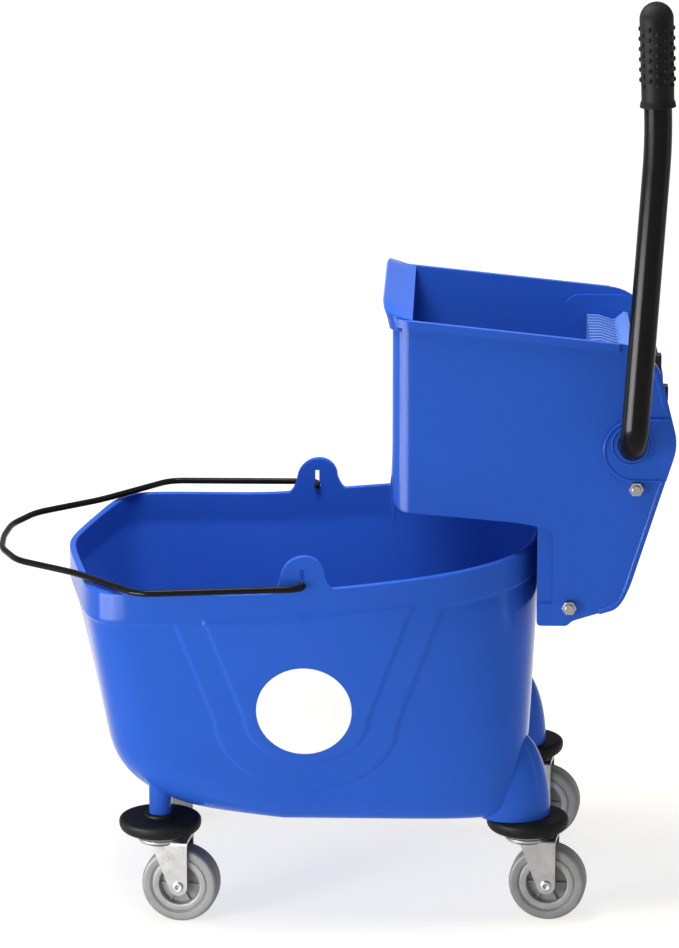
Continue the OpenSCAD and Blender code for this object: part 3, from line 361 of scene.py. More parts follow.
bucket_rings = bucket_skin()
bucket = moulded("bucket_moulding", *ringed(bucket_rings))
room_rings = bucket_rings[1 - inner_rings - fillet_rings:] - (bucket_mid_x, 0, 0)
room = moulded("room", *ringed(room_rings * (room_share, room_share, 1) + (bucket_mid_x, 0, room_lift)))
legs = []
for corner, (x, y) in caster_places.items():
    if x < 0:
        profile = [(0, post_z), (post_r, post_z), (post_r, post_z + post_tall), (0, post_z + post_tall)]
        legs.append(moulded("leg", *turned(profile, (x, y, 0), (0, 0, 1), 48)))
    else:
        turns = np.linspace(0, math.pi / 2, 24)[1:-1]
        profile = [(0, post_z)] + [(leg_r - inward, post_z + up) for inward, up in leg_foot]
        profile += [(leg_r * math.cos(a), post_z + leg_tall * math.sin(a)) for a in turns]
        profile += [(0, post_z + leg_tall)]
        middle = (x - leg_ahead, y - math.copysign(leg_in, y), 0)
        legs.append(moulded("leg", *turned(profile, middle, (0, 0, 1), 96)))
posts = legs[0]
combined(posts, legs[1:], "UNION")
combined(posts, [room], "DIFFERENCE")
combined(bucket, [posts], "UNION")
keyhole = arc(ear_x, ear_hole_z, ear_hole_r, 125, 415, 40)
keyhole += [(ear_x + side * ear_slot_w / 2, ear_hole_z + ear_slot_tall) for side in (1, -1)]
combined(bucket, [moulded("keyholes", *prism(keyhole, -ear_cut, ear_cut))], "DIFFERENCE")

blue, ink = finish_of("blue_moulded_plastic")
blue_plain, blue_pale = (0.0185, 0.0785, 0.412, 1), (0.0205, 0.085, 0.44, 1)
flow = ink.grain(7, 3)
peel = ink.grain(520, 2)
scuff = ink.grain(160, 4, 0.65, (1, 1, 0.12)).above(0.58, 0.74)
shaded(ink, {"Base Color": flow.above(0.3, 0.7).blended(blue_plain, blue_pale),
             "Roughness": 0.14 + scuff * 0.05 + flow * 0.05,
             "Specular IOR Level": 0.04,
             "Normal": (peel * 0.5 - scuff * 0.35).bumped(0.00006, 0.5)})
dressed(bucket, "bucket", blue, "blue_plastic", "bucket")

# ---------------------------------------------------------------- Side disc
# A plain round of white vinyl with an adhesive back. It is pressed onto the near wall between the arms of
# the U panel, and follows the wall's bow.

disc_x, disc_z, disc_r, disc_squat, disc_sides, disc_from = -22.5, 226.0, 45.4, 0.985, 96, -400.0
disc_inner, disc_outer, face_loops, back_loops = 0.04, 0.97, 18, 10
disc_edge = ((1.0, 0.3), (1.003, 0.2), (1.003, -0.3))
side_wall = BVHTree.FromObject(bucket, bpy.context.evaluated_depsgraph_get())


def on_side_wall(share, turn, proud):
    """A place on the near wall, a share of the disc's radius from its middle and a little proud."""
    x, z = disc_x + disc_r * share * math.cos(turn), disc_z + disc_r * share * math.sin(turn) * disc_squat
    hit, way, _, _ = side_wall.ray_cast(Vector((x, disc_from, z)) * MM, Vector((0, 1, 0)))
    return hit / MM + way * (proud if way.y < 0 else -proud)


disc_loops = [(share, disc_edge[0][1]) for share in np.linspace(disc_inner, disc_outer, face_loops)]
disc_loops += disc_edge
disc_loops += [(share, disc_edge[-1][1]) for share in np.linspace(disc_outer, disc_inner, back_loops)]
disc_turns = [2 * math.pi * k / disc_sides for k in range(disc_sides)]
disc_rings = [[on_side_wall(share, turn, proud) for turn in disc_turns] for share, proud in disc_loops]
disc = moulded("side_disc", *ringed(np.array(disc_rings)))
vinyl, ink = finish_of("white_vinyl")
fleck = ink.grain(900, 2)
age = ink.grain(30, 3).above(0.35, 0.7)
shaded(ink, {"Base Color": age.blended((0.75, 0.75, 0.75, 1), (0.70, 0.705, 0.71, 1)),
             "Roughness": 0.32 + fleck * 0.1, "Specular IOR Level": 0.3,
             "Normal": fleck.bumped(0.00003, 0.4)})
dressed(disc, "bucket", vinyl, None)

# ---------------------------------------------------------------- Bail
# A steel wire handle with a black powder coat. It is bent wide round the bucket's front, and its ends turn
# in and are sprung into the ears.

wire_r, bail_reach, bail_half, bail_fall, bail_stub = 3.2, 304.0, 218.8, 6.0, 22.0
bail_pin_off, bail_pin_short, bail_bend, bend_steps = 10.0, 3.0, 14.0, 8
bail_pin_y = wall_half + band_proud + bail_pin_off
bail_reach_shares = (0.507, 0.724, 0.925, 0.99, 1)
bail_half_shares = (1, 0.645, 0.42, 0.21, 0)
dome_turns, dome_share = (0.5, 1.0, 1.45), 0.6


def eased_path(corners, reach, steps):
    """The corners of a route turned into short curves."""
    corners = [np.asarray(c, float) for c in corners]
    route = [corners[0]]
    for before, here, after in zip(corners, corners[1:], corners[2:]):
        inward, outward = before - here, after - here
        p = here + inward * min(reach / np.linalg.norm(inward), 0.5)
        q = here + outward * min(reach / np.linalg.norm(outward), 0.5)
        for s in np.linspace(0, 1, steps + 1):
            route.append(p * (1 - s) ** 2 + here * 2 * s * (1 - s) + q * s * s)
    return np.array(route + [corners[-1]])


def swept(route, radius, sides=20, dome=True):
    """Points and faces of a round bar along a route, with domed ends."""
    ways = np.gradient(np.asarray(route, float), axis=0)
    ways /= np.linalg.norm(ways, axis=1)[:, None]
    side = Vector(ways[0]).orthogonal().normalized()
    stack = []
    for k, (place, way) in enumerate(zip(route, ways)):
        way = Vector(way)
        side = (side - way * side.dot(way)).normalized()
        other = way.cross(side)
        turns = [2 * math.pi * m / sides for m in range(sides)]
        loop = lambda r, at: [at + (side * math.cos(t) + other * math.sin(t)) * r for t in turns]
        here = Vector(place)
        cap = lambda a, end: loop(radius * math.cos(a), here + way * end * radius * dome_share * math.sin(a))
        if dome and k == 0:
            stack += [cap(a, -1) for a in dome_turns[::-1]]
        stack.append(loop(radius, here))
        if dome and k == len(route) - 1:
            stack += [cap(a, 1) for a in dome_turns]
    return ringed(np.array(stack))


bail_pivot = np.array([ear_x, 0, ear_hole_z])
half_way = [bail_pivot - (0, bail_pin_y, 0)]
half_way += [bail_pivot - (bail_reach * r, bail_half * h, bail_fall * r)
             for r, h in zip(bail_reach_shares, bail_half_shares)]
near_way = [half_way[0] + (0, bail_stub - bail_pin_short, 0)] + half_way
far_way = [p * (1, -1, 1) for p in near_way[:-1][::-1]]
bail = moulded("bail_wire", *swept(eased_path(near_way + far_way, bail_bend, bend_steps), wire_r))

coat, ink = finish_of("black_powder_coat")
peel = ink.grain(900, 2)
rub = ink.grain(60, 5, 0.6).above(0.55, 0.8)
shaded(ink, {"Base Color": rub.blended((0.0065, 0.0065, 0.007, 1), (0.009, 0.009, 0.0095, 1)),
             "Roughness": 0.15 + rub * 0.05 + peel * 0.05, "Specular IOR Level": 0.05,
             "Normal": peel.bumped(0.00005, 0.5)})
dressed(bail, "bail", coat, "black_steel", "bail_handle")

# ---------------------------------------------------------------- Casters
# Four swivel casters: a rubber bumper under each post or leg, a plated stem and race, a pressed and zinc
# plated yoke, a hollow axle rolled over at both ends, and a soft grey tyre on a paler rim with a spoked core.

wheel_r, tyre_w, tyre_seat_r, axle_r, wheel_sides = 37.5, 25.0, 27.0, 4.0, 96
caster_yaws = {"front_near": -8, "front_far": 95, "back_near": -8, "back_far": -8}
caster_trail, axle_z = 20.5, 37.5
bumper_r, bumper_t, bumper_z, bumper_edge, bumper_foot, bumper_flat = 40.0, 15.0, 89.0, 4.5, 9.0, 2.0
bumper_sole = ((2.0, 0.0), (3.0, 0.6))
neck_foot_out, neck_foot, neck_tall, neck_gap = 5.5, 1.6, 3.4, 0.05
neck_crown_out, neck_crown_up, neck_crown = 2.4, 1.9, 1.5
race_z, race_t, race_r, race_round = 84.3, 4.7, 25.0, 3.0
stem_r, stem_rise, stem_chamfer, stem_gap = 5.5, 20.0, 1.0, 0.02
fork_half, fork_sheet, fork_top_z, fork_plate = 14.5, 2.5, 80.5, 3.5
fork_bend, fork_inner_bend, fork_spare, fork_back = 4.5, 3.5, 1.0, 14.0
fork_tip_r, fork_heel, fork_brow, fork_brow_drop, fork_side_spare = 9.0, 5.0, 6.0, 2.0, 2.0
fork_disc_r, fork_disc_edge, fork_disc_side = 22.0, 1.0, ((-1.2, -1.0), (0.0, 0.6))
fork_cup_r, fork_cup_z, fork_ease = 13.0, 75.6, 0.5
rivet_bore, rivet_roll, rivet_r, rivet_proud, rivet_deep = 1.9, 3.4, 5.0, 1.2, 1.0
tyre_wall, tyre_wall_end = ((0.0, 1.6), (0.5, 1.3), (1.1, 1.4), (1.5, 0.5), (2.3, 0.1)), 4.4
tyre_shoulder_in, tyre_shoulder, tread_half = 3.8, 3.4, 3.0
tyre_groove = ((0.15, 4.6), (0.95, 5.1), (0.95, 5.9), (0.1, 6.4))
rim_gap, rim_brow = 0.02, ((0.0, 2.2), (0.5, 1.3), (1.4, 0.8))
dish_r, rim_dish = 19.4, ((2.4, 0.9), (1.0, 1.3), (0.3, 2.4), (0.04, 8.2))
core_plate = ((dish_r, 6.8), (dish_r - 0.8, 7.6), (10.2, 7.6))
core_boss = ((9.2, 6.8), (9.0, 2.0), (8.2, 1.4), (axle_r + 0.05, 1.4))
spoke_count, spoke_in = 6, 5.0
spoke_plan = ((7.0, -0.9), (dish_r - 0.3, -0.6), (dish_r - 0.3, 0.6), (7.0, 0.9))

rubber, ink = finish_of("black_rubber")
mould = ink.grain(1400, 2)
bloom = ink.grain(40, 4, 0.6).above(0.45, 0.75)
shaded(ink, {"Base Color": bloom.blended((0.009, 0.009, 0.0095, 1), (0.018, 0.018, 0.019, 1)),
             "Roughness": 0.46 + bloom * 0.16, "Specular IOR Level": 0.05,
             "Normal": mould.bumped(0.00006, 0.6)})

zinc, ink = finish_of("bright_zinc_plate")
spangle = ink.grain(110, 3)
brush = ink.grain(260, 3, 0.6, (1, 1, 0.06))
shaded(ink, {"Base Color": spangle.above(0.3, 0.7).blended((0.235, 0.237, 0.24, 1), (0.29, 0.29, 0.294, 1)),
             "Metallic": 1.0, "Roughness": 0.24 + spangle * 0.04 + brush * 0.05,
             "Normal": brush.bumped(0.00004, 0.4)})

steel, ink = finish_of("plated_steel")
mark = ink.grain(420, 4, 0.6)
shaded(ink, {"Base Color": mark.above(0.3, 0.7).blended((0.34, 0.34, 0.35, 1), (0.46, 0.46, 0.47, 1)),
             "Metallic": 1.0, "Roughness": 0.22 + mark * 0.18, "Normal": mark.bumped(0.00004, 0.5)})

tyre_grey, ink = finish_of("soft_grey_tyre")
mould = ink.grain(1200, 2)
dust = ink.grain(70, 4, 0.6).above(0.4, 0.7)
shaded(ink, {"Base Color": dust.blended((0.138, 0.138, 0.141, 1), (0.172, 0.172, 0.175, 1)),
             "Roughness": 0.55 + dust * 0.15, "Normal": mould.bumped(0.00006, 0.5)})

rim_grey, ink = finish_of("pale_rim_plastic")
mould = ink.grain(900, 2)
dust = ink.grain(60, 4, 0.6).above(0.4, 0.7)
shaded(ink, {"Base Color": dust.blended((0.215, 0.215, 0.217, 1), (0.255, 0.255, 0.257, 1)),
             "Roughness": 0.4 + dust * 0.15, "Normal": mould.bumped(0.00005, 0.5)})

hub_grey, ink = finish_of("grey_hub_plastic")
mould = ink.grain(900, 2)
shade = ink.grain(50, 3).above(0.35, 0.65)
shaded(ink, {"Base Color": shade.blended((0.13, 0.132, 0.136, 1), (0.165, 0.167, 0.172, 1)),
             "Roughness": 0.42 + shade * 0.12, "Normal": mould.bumped(0.00005, 0.5)})


def both_faces(side):
    """A wheel's profile from the profile of one of its faces."""
    return side + [(r, -h) for r, h in side[::-1]]


for corner, (x, y) in caster_places.items():
    foot = (x, y, 0)
    yaw = math.radians(caster_yaws[corner])
    wheel_way = Vector((math.cos(yaw), math.sin(yaw), 0))
    axle_way = Vector((-math.sin(yaw), math.cos(yaw), 0))
    wheel = Vector((x, y, axle_z)) + wheel_way * caster_trail
    pad_top, pad_bore = bumper_z + bumper_t, stem_r + stem_gap
    profile = [(pad_bore, bumper_z)] + [(race_r + out, bumper_z + up) for out, up in bumper_sole]
    profile += arc(bumper_r - bumper_foot, bumper_z + bumper_foot, bumper_foot, -84, 0, 12)
    profile += arc(bumper_r - bumper_edge, pad_top - bumper_edge, bumper_edge, 0, 84, 9)
    if x < 0:
        profile += arc(post_r + neck_foot_out, pad_top + neck_foot, neck_foot, -90, -180, 5)
        profile += arc(post_r + neck_crown_out, pad_top + neck_crown_up, neck_crown, 0, 90, 6)
        profile += [(post_r + neck_gap, pad_top + neck_tall), (post_r + neck_gap, post_z), (pad_bore, post_z)]
    else:
        profile += [(bumper_r - bumper_edge - bumper_flat, pad_top), (pad_bore, pad_top)]
    pad = moulded(f"bumper_pad_{corner}", *turned(profile, foot, (0, 0, 1), 72, closed=True))
    dressed(pad, "bucket", rubber, "black_rubber", f"bumper_{corner}")

    race_top = race_z + race_t
    stem_top = race_top + bumper_t + stem_rise
    profile = [(0, race_z), (race_r - race_round, race_z)]
    profile += arc(race_r - race_round, race_z + race_round, race_round, -90, 0, 6)
    profile += [(race_r, race_top), (stem_r, race_top), (stem_r, stem_top - stem_chamfer),
                (stem_r - stem_chamfer, stem_top), (0, stem_top)]
    pin = moulded(f"swivel_stem_{corner}", *turned(profile, foot, (0, 0, 1), 64))
    dressed(pin, "bucket", zinc, "steel", f"stem_{corner}")

    yoke_high, below = fork_top_z + fork_plate, axle_z - fork_tip_r - fork_spare
    outer, inner, yoke_front = fork_half + fork_sheet, fork_half, caster_trail + fork_tip_r
    sheet = [(outer, below)] + arc(outer - fork_bend, yoke_high - fork_bend, fork_bend, 0, 90, 8)
    sheet += arc(fork_bend - outer, yoke_high - fork_bend, fork_bend, 90, 180, 8)
    sheet += [(-outer, below), (-inner, below)]
    sheet += arc(fork_bend - inner, fork_top_z - fork_inner_bend, fork_inner_bend, 180, 90, 6)
    sheet += arc(inner - fork_bend, fork_top_z - fork_inner_bend, fork_inner_bend, 90, 0, 6)
    sheet += [(inner, below)]
    swung = lambda p: Vector(foot) + wheel_way * p[0] + axle_way * p[1] + Vector((0, 0, p[2]))
    points, faces = prism(sheet, -fork_heel - fork_back, yoke_front, axis=0)
    yoke = moulded(f"yoke_{corner}", [swung(p) for p in points], faces)
    leg = [(yoke_front, yoke_high + fork_spare), (-fork_heel - fork_brow, yoke_high + fork_spare)]
    leg += [(-fork_heel, fork_top_z - fork_brow_drop)] + arc(caster_trail, axle_z, fork_tip_r, 205, 360, 18)
    points, faces = prism(leg, -outer - fork_side_spare, outer + fork_side_spare)
    combined(yoke, [moulded("leg", [swung(p) for p in points], faces)], "INTERSECT")
    profile = [(0, fork_cup_z), (fork_cup_r, fork_cup_z)]
    profile += [(fork_disc_r + out, fork_top_z + up) for out, up in fork_disc_side]
    profile += [(fork_disc_r, yoke_high - fork_disc_edge), (fork_disc_r - fork_disc_edge, yoke_high)]
    profile += [(0, yoke_high)]
    combined(yoke, [moulded("disc", *turned(profile, foot, (0, 0, 1), 64))], "UNION")
    rounded(yoke, fork_ease, 2)
    dressed(yoke, f"caster_{corner}", zinc, "zinc", f"fork_{corner}")

    side = [(axle_r, outer), (rivet_r, outer)]
    side += arc(rivet_roll, outer + rivet_proud, rivet_roll - rivet_bore, 10, 150, 8)
    side += [(rivet_bore, outer + rivet_proud), (rivet_bore, outer - rivet_deep), (0, outer - rivet_deep)]
    profile = [(r, -h) for r, h in side[::-1]] + side
    rivet = moulded(f"axle_rivet_{corner}", *turned(profile, wheel, axle_way, 40))
    dressed(rivet, f"caster_{corner}", steel, "steel", f"axle_{corner}")

    half = tyre_w / 2
    side = [(tyre_seat_r + out, half - inward) for out, inward in tyre_wall] + [(wheel_r - tyre_wall_end, half)]
    side += arc(wheel_r - tyre_shoulder_in, half - tyre_shoulder, tyre_shoulder, 82, 20, 8)
    side += [(wheel_r - deep, half - inward) for deep, inward in tyre_groove] + [(wheel_r, tread_half)]
    tread = moulded(f"tread_{corner}", *turned(both_faces(side), wheel, axle_way, wheel_sides, closed=True))
    dressed(tread, f"wheel_{corner}", tyre_grey, "grey_tyre", f"tyre_{corner}")

    side = [(tyre_seat_r - rim_gap - deep, half - inward) for deep, inward in rim_brow]
    side += [(dish_r + out, half - inward) for out, inward in rim_dish]
    band = moulded(f"wheel_rim_{corner}", *turned(both_faces(side), wheel, axle_way, wheel_sides, closed=True))
    dressed(band, f"wheel_{corner}", rim_grey, "grey_hub")
    side = [(r, half - inward) for r, inward in core_plate + core_boss]
    core = moulded(f"wheel_core_{corner}", *turned(both_faces(side), wheel, axle_way, wheel_sides, closed=True))
    spokes = []
    for k in range(spoke_count):
        turn = 2 * math.pi * k / spoke_count
        out = wheel_way * math.cos(turn) + Vector((0, 0, 1)) * math.sin(turn)
        across = out.cross(axle_way)
        points, faces = prism(spoke_plan, spoke_in - half, half - spoke_in, axis=2)
        points = [wheel + out * p[0] + across * p[1] + axle_way * p[2] for p in points]
        spokes.append(moulded("spoke", points, faces))
    combined(core, spokes, "UNION")
    dressed(core, f"wheel_{corner}", hub_grey, "grey_hub", f"hub_{corner}")

# ---------------------------------------------------------------- Wringer body
# A second blue moulding hooked over the bucket's back rim: hopper, cheeks, shelf and hook wall in one, with a
# flared front lip, a band round the rim and beads along its edges. Two plated tie rods with nuts cross its
# cheeks, and a slatted grate lies in its floor.

weld_gap, flat_turn = 0.00001, 0.5
wringer_ease, grate_ease, tie_ease = 1.0, 0.6, 0.5


def softened(name, node, ease, segments=2):
    """A copy of a CAD node's solid with its flats made whole and its edges eased."""
    shape = bmesh.new()
    shape.from_mesh(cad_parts[node].data)
    bmesh.ops.remove_doubles(shape, verts=shape.verts, dist=weld_gap)
    bmesh.ops.dissolve_limit(shape, angle_limit=math.radians(flat_turn), verts=shape.verts, edges=shape.edges)
    mesh = bpy.data.meshes.new(name)
    shape.to_mesh(mesh)
    shape.free()
    made = bpy.data.objects.new(name, mesh)
    bpy.context.scene.collection.objects.link(made)
    return rounded(made, ease, segments)


hopper_x, hopper_half, hopper_rim_z, rim_slope = 59.6, 138.0, 598.05, 24 / 228
lip_flat, lip_turn, lip_root, lip_steps, rim_corner, band_corner = 78.0, 57.0, 19.0, 20, 20.0, 23.0
lip_lift, lip_out, lip_up, lip_least = 0.3, (3.0, 4.9), (0.5, 11.9), 0.02
lip_edge, lip_edge_flared = (-0.3, -0.8), (-1.7, -3.4)
lip_heel_out, lip_heel_in, lip_heel_drop, lip_back = 3.25, 0.7, 12.0, ((1.5, -13.0), (2.5, -5.0))
lip_sag, lip_nose, lip_hollow = (0.0, -1.6), (-1.3, 0.6), (1.0, 0.6)
rim_cut_front, rim_cut_back, rim_cut_top, rim_cut_half = (45.0, 1.6), (85.0, -2.6), 630.0, 126.0
cheek_back = [(300.0, 562.0), (310.6, 553.0), (330.6, 478.55), (281.6, 319.55), (262.0, 313.4)]
edge_bead_r, edge_bead_in, edge_bead_out, edge_bead_bend = 2.8, 3.4, 0.2, 22.0
boss_mid_x, boss_mid_z, boss_r, boss_out = 290.1, 473.05, 29.4, 141.0
boss_tails, boss_bead_r = (30.0, 25.0), 1.3
collar_mid_x, collar_mid_z, collar_r, collar_out, collar_bead_r = 286.6, 479.05, 18.7, 3.0, 1.0


def bowed(a, b, bulge, steps):
    """A curve between two places, with its middle drawn aside."""
    middle = (a + b) / 2 + bulge
    return [a * (1 - s) ** 2 + middle * 2 * s * (1 - s) + b * s * s for s in np.linspace(0, 1, steps)]


def lip_section(y, ease):
    """Section of the flared lip: full at 1, level with the rim at 0, and drawn back round the corners."""
    turn = max(abs(y) - hopper_half + rim_corner, 0)
    back = band_corner - math.sqrt(band_corner ** 2 - turn ** 2)
    spot = lambda out, up: np.array([hopper_x + out, hopper_rim_z + up])
    root = spot(lip_root, lip_lift - rim_slope * lip_root)
    tip = spot(back - lip_out[0] - lip_out[1] * ease, lip_up[0] + lip_up[1] * ease)
    low = tip + np.array(lip_edge) + np.array(lip_edge_flared) * ease
    heel = spot(back - lip_heel_out + lip_heel_in * (1 - ease), -lip_heel_drop)
    top = bowed(root, tip, np.array(lip_sag) * ease, 12)
    edge = bowed(tip, low, np.array(lip_nose) * ease, 6)[1:-1]
    under = bowed(low, heel, np.array(lip_hollow) * ease, 9)
    return top + edge + under + [spot(back + out, up) for out, up in lip_back]


lip_turns = np.linspace(0, math.pi / 2, lip_steps)
lip_places = [(-lip_flat - lip_turn * math.sin(a), math.cos(a)) for a in lip_turns[::-1]]
lip_places += [(lip_flat + lip_turn * math.sin(a), math.cos(a)) for a in lip_turns]
lip_rings = np.array([[(x, y, z) for x, z in lip_section(y, max(ease, lip_least))] for y, ease in lip_places])
over_rim = [(x, hopper_rim_z + up) for x, up in (rim_cut_front, rim_cut_back)]
over_rim += [(rim_cut_back[0], rim_cut_top), (rim_cut_front[0], rim_cut_top)]
wringer = softened("wringer_moulding", "wringer_body", wringer_ease, 3)
combined(wringer, [moulded("lip_block", *prism(over_rim, -rim_cut_half, rim_cut_half))], "DIFFERENCE")
dressed(wringer, "wringer", blue, "blue_plastic", "wringer_body")
dressed(moulded("flared_lip", *ringed(lip_rings)), "wringer", blue, "blue_plastic", sharp=50)

for side, place in ((-1, "near"), (1, "far")):
    face = side * (hopper_half + edge_bead_out - edge_bead_r / 2)
    route = eased_path([(x - edge_bead_in, face, z) for x, z in cheek_back], edge_bead_bend, 10)
    dressed(moulded(f"edge_bead_{place}", *swept(route, edge_bead_r, 16)), "wringer", blue, "blue_plastic")
    bow = [(boss_mid_x + boss_tails[0], boss_mid_z + boss_r)] + arc(boss_mid_x, boss_mid_z, boss_r, 90, 270, 40)
    bow += [(boss_mid_x + boss_tails[1], boss_mid_z - boss_r)]
    route = np.array([(x, side * boss_out, z) for x, z in bow])
    dressed(moulded(f"boss_bead_{place}", *swept(route, boss_bead_r, 12)), "wringer", blue, "blue_plastic")
    profile = arc(collar_r, side * (boss_out + collar_out), collar_bead_r, 0, 360, 13)[:-1]
    ring = turned(profile, (collar_mid_x, 0, collar_mid_z), (0, 1, 0), 72, closed=True)
    dressed(moulded(f"collar_bead_{place}", *ring), "wringer", blue, "blue_plastic")
grate = softened("drain_slats", "drain_grate", grate_ease)
dressed(grate, "wringer", blue, "blue_plastic", "drain_grate")
dressed(softened("tie_bars", "tie_rods", tie_ease), "wringer", zinc, "steel", "tie_rods")
dressed(softened("tie_bar_nuts", "tie_nuts", tie_ease), "wringer", zinc, "steel", "tie_nuts")

# ---------------------------------------------------------------- Press
# The moulded plate that squeezes the mop, with saw-tooth ribs on its face. Its blue is painted paler than the
# bucket's, as painted light for the light on its up-turned face. Two black moulded racks are screwed to its
# back, where the lever's pinions drive them.

plate_ease, small_ease = 0.5, 0.4
plate = softened("press_face", "press_plate", plate_ease)
# Painted light: a paler copy of the bucket's blue, painted lighter for the light on the plate's face.
painted_lit_blue, ink = finish_of("blue_plastic_painted_lit")
flow = ink.grain(9, 3)
peel = ink.grain(520, 2)
shaded(ink, {"Base Color": flow.above(0.3, 0.7).blended((0.085, 0.17, 0.47, 1), (0.1, 0.19, 0.5, 1)),
             "Roughness": 0.3 + flow * 0.1, "Specular IOR Level": 0.15,
             "Normal": peel.bumped(0.00005, 0.5)})
dressed(plate, "press", painted_lit_blue, "blue_plastic", "press_plate")

black_plastic, ink = finish_of("black_moulded_plastic")
mould = ink.grain(1000, 2)
worn = ink.grain(80, 4, 0.6).above(0.5, 0.8)
shaded(ink, {"Base Color": worn.blended((0.012, 0.012, 0.013, 1), (0.022, 0.022, 0.023, 1)),
             "Roughness": 0.4 + worn * 0.15, "Specular IOR Level": 0.2,
             "Normal": mould.bumped(0.00005, 0.5)})
for side in ("near", "far"):
    rack = softened(f"toothed_rack_{side}", f"rack_{side}", small_ease)
    dressed(rack, "press", black_plastic, "black_plastic", f"rack_{side}")
dressed(softened("rack_bolts", "rack_screws", small_ease), "press", steel, "steel", "rack_screws")

# ---------------------------------------------------------------- Lever
# One steel tube with a black coat, bent to be handle and shaft in one, under a nubbed rubber grip. The shaft
# turns in two bushings in the cheeks, carries two pinions on cross pins and ends in a cap.

tube_r, elbow_r, lever_lean, crank_turn = 13.0, 28.0, math.radians(3.5), math.radians(5.5)
shaft_x, shaft_z, lever_y, shaft_far_y = 286.6, 479.05, -178.0, 144.3
crank_rise, crank_drop, crank_bend, crank_from, shaft_mid_y = 295.0, 130.0, 26.0, 150.0, 60.0
grip_len, grip_r, grip_gap, cap_ease = 97.0, 15.7, 0.02, 0.8
cuff_out, cuff_round, cuff_side = 0.3, 0.8, ((0.6, 4.0), (-0.6, 7.0))
nub_r, nub_tall, nub_seat, nub_pitch, nub_from, nub_rows, nub_columns = 2.4, 1.3, 0.6, 9.4, 21.0, 6, 12
nub_dome = [(0, -nub_seat), (nub_r, -nub_seat), (nub_r, 0.4),
            (nub_r * 0.8, nub_tall), (nub_r * 0.45, nub_tall + 0.5), (0, nub_tall + 0.6)]


def leant(x, y, z):
    """A place on the upright lever, turned to its lean at rest."""
    c, s = math.cos(lever_lean), math.sin(lever_lean)
    return Vector((shaft_x + x * c + z * s, y, shaft_z - x * s + z * c))


def cranked(along):
    """A place on the middle line of the upper part, above the crank."""
    return leant(-along * math.sin(crank_turn), lever_y, crank_rise + along * math.cos(crank_turn))


elbow = arc(lever_y + elbow_r, elbow_r, elbow_r, 270, 180, 18)
route = [leant(0, y, z) for y, z in [(shaft_far_y, 0), (shaft_mid_y, 0)] + elbow]
crank = [leant(0, lever_y, crank_from), cranked(0), cranked(crank_drop - grip_r)]
route += list(eased_path(crank, crank_bend, 10))
bar = moulded("lever_bar", *swept(route, tube_r, 40, dome=False))
dressed(bar, "lever", coat, "black_steel", "lever_tube")

grip_low, grip_top = crank_drop - grip_len, crank_drop - grip_r
profile = [(tube_r + grip_gap, grip_low), (grip_r + cuff_out, grip_low)]
profile += arc(grip_r + cuff_out, grip_low + cuff_round, cuff_round, -90, 30, 6)
profile += [(grip_r + out, grip_low + up) for out, up in cuff_side]
profile += arc(0, grip_top, grip_r, 0, 90, 14)[:-1]
profile += [(0, crank_drop), (0, grip_top), (tube_r + grip_gap, grip_top)]
upward = (cranked(1) - cranked(0)).normalized()
grip = moulded("hand_grip", *turned(profile, cranked(0), upward, 64, closed=True))
dressed(grip, "lever", rubber, "black_rubber", "lever_grip")

nub_points, nub_faces = [], []
outward = Vector((0, -1, 0))
for column in range(nub_columns):
    turn = 2 * math.pi * column / nub_columns
    out = outward * math.cos(turn) + upward.cross(outward) * math.sin(turn)
    for row in range(nub_rows):
        along = grip_low + nub_from + nub_pitch * (row + 0.5 * (column % 2))
        points, faces = turned(nub_dome, cranked(along) + out * (grip_r - nub_seat), out, 14)
        nub_faces += [[k + len(nub_points) for k in face] for face in faces]
        nub_points += points
dressed(moulded("grip_nubs", nub_points, nub_faces), "lever", rubber, "black_rubber")

for side in ("near", "far"):
    pinion = softened(f"drive_pinion_{side}", f"pinion_{side}", small_ease)
    dressed(pinion, "lever", black_plastic, "black_plastic", f"pinion_{side}")
    bushing = softened(f"bushing_{side}", f"shaft_bushing_{side}", small_ease)
    dressed(bushing, "wringer", black_plastic, "black_plastic", f"shaft_bushing_{side}")
dressed(softened("cross_pins", "pinion_pins", small_ease), "lever", steel, "steel", "pinion_pins")
dressed(softened("end_cap", "shaft_cap", cap_ease), "lever", black_plastic, "black_plastic", "shaft_cap")

# ---------------------------------------------------------------- Return spring
# A torsion spring that brings the lever back up. It is wound of round steel wire, and sits round the shaft
# between the far pinion and the far cheek.

spring_wire_r, spring_coil_r, spring_turns, spring_pitch, spring_y, spring_leg = 1.3, 15.8, 7, 3.4, 94.0, 9.0
turn_steps = 28
turns = np.linspace(0, 2 * math.pi * spring_turns, spring_turns * turn_steps)
coil = np.stack([shaft_x + spring_coil_r * np.cos(turns), spring_y + spring_pitch * turns / (2 * math.pi),
                 shaft_z + spring_coil_r * np.sin(turns)], 1)
route = np.vstack([coil[:1] - (0, 0, spring_leg), coil, coil[-1:] + (0, 0, spring_leg)])
spring = moulded("spring_coil", *swept(route, spring_wire_r, 12))
dressed(spring, "wringer", steel, "steel", "return_spring")

# ---------------------------------------------------------------- Studio
# A pale floor in an even white room. The floor glows with a light of its own, and the glow is dimmer near the
# middle, which paints a shade round the part; its warm tint cancels the blue light that the bucket throws on
# it.
# Five soft boxes and a reflector card light the part, and a long lens sees it from the angle of the photograph.

floor_half = 40000.0
floor_corners = [(x * floor_half, y * floor_half, 0) for x, y in ((-1, -1), (1, -1), (1, 1), (-1, 1))]
floor = moulded("studio_floor", floor_corners, [(0, 1, 2, 3)])
pale, ink = finish_of("pale_floor_painted_shade")
place = ink.node("ShaderNodeTexCoord", output="Object")
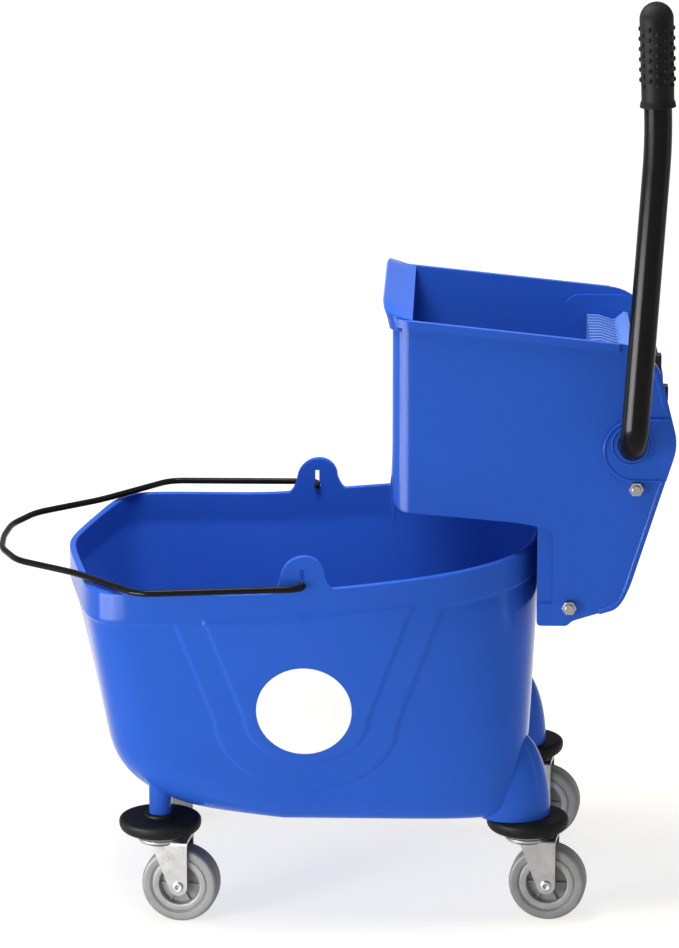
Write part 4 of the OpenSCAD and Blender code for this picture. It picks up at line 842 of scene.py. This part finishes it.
# Painted shade: the floor's glow rises from 0.7 near the middle to 0.9 two metres out, so the floor round the
# part is darker.
painted_shade_falloff = ink.node("ShaderNodeVectorMath", {"operation": "LENGTH"}, {0: place}, "Value").above(0.5, 2.0)
shaded(ink, {"Base Color": (0.46, 0.44, 0.365, 1), "Roughness": 0.8, "Specular IOR Level": 0.1,
             "Emission Color": painted_shade_falloff.blended((0.7, 0.7, 0.7, 1), (0.9, 0.9, 0.9, 1)), "Emission Strength": 1.0})
floor.data.materials.append(pale)

world = bpy.data.worlds.new("white_room")
world.use_nodes = True
world.node_tree.nodes["Background"].inputs["Color"].default_value = (1, 1, 1, 1)
world.node_tree.nodes["Background"].inputs["Strength"].default_value = 0.38
bpy.context.scene.world = world


def soft_box(name, place, aim, width, height, power):
    """A rectangular lamp at a place, in metres, turned to what it lights."""
    box = bpy.data.lights.new(name, "AREA")
    box.shape, box.size, box.size_y, box.energy = "RECTANGLE", width, height, power
    lamp = bpy.data.objects.new(name, box)
    lamp.location = place
    lamp.rotation_euler = (Vector(aim) - Vector(place)).to_track_quat("-Z", "Y").to_euler()
    bpy.context.scene.collection.objects.link(lamp)
    return lamp


soft_box("left_box", (-1.15, -1.0, 0.38), (-0.1, -0.1, 0.25), 0.16, 0.66, 6.5)
soft_box("low_box", (-0.75, -0.85, 0.22), (-0.1, -0.18, 0.24), 0.12, 0.4, 3.4)
soft_box("right_box", (2.4, -0.2, 1.0), (0, 0, 0.4), 0.4, 2.0, 8)
soft_box("top_box", (-0.5, -0.2, 2.8), (0, 0, 0.3), 1.2, 1.2, 35)
soft_box("well_box", (-0.15, -0.1, 1.3), (-0.02, 0.12, 0.25), 0.4, 0.4, 12)
card = soft_box("sheen_card", (-0.95, -0.85, 0.2), (0.05, -0.15, 0.4), 1.2, 0.6, 100)
card.visible_diffuse = False

view_azimuth, view_elevation, view_distance = math.radians(1.8), math.radians(14.0), 4.0
view_aim, view_focal_px, frame_tall_px, sensor = Vector((0.0056, 0, 0.413)), 4060, 948, 36
back = Vector((math.sin(view_azimuth) * math.cos(view_elevation),
               -math.cos(view_azimuth) * math.cos(view_elevation), math.sin(view_elevation)))
lens = bpy.data.cameras.new("long_lens")
lens.sensor_width, lens.lens = sensor, view_focal_px / frame_tall_px * sensor
lens.clip_start, lens.clip_end = 0.1, 100
camera = bpy.data.objects.new("camera", lens)
camera.location = view_aim + back * view_distance
camera.rotation_euler = (-back).to_track_quat("-Z", "Y").to_euler()
bpy.context.scene.collection.objects.link(camera)
bpy.context.scene.camera = camera
bpy.context.scene.view_settings.view_transform = "Standard"
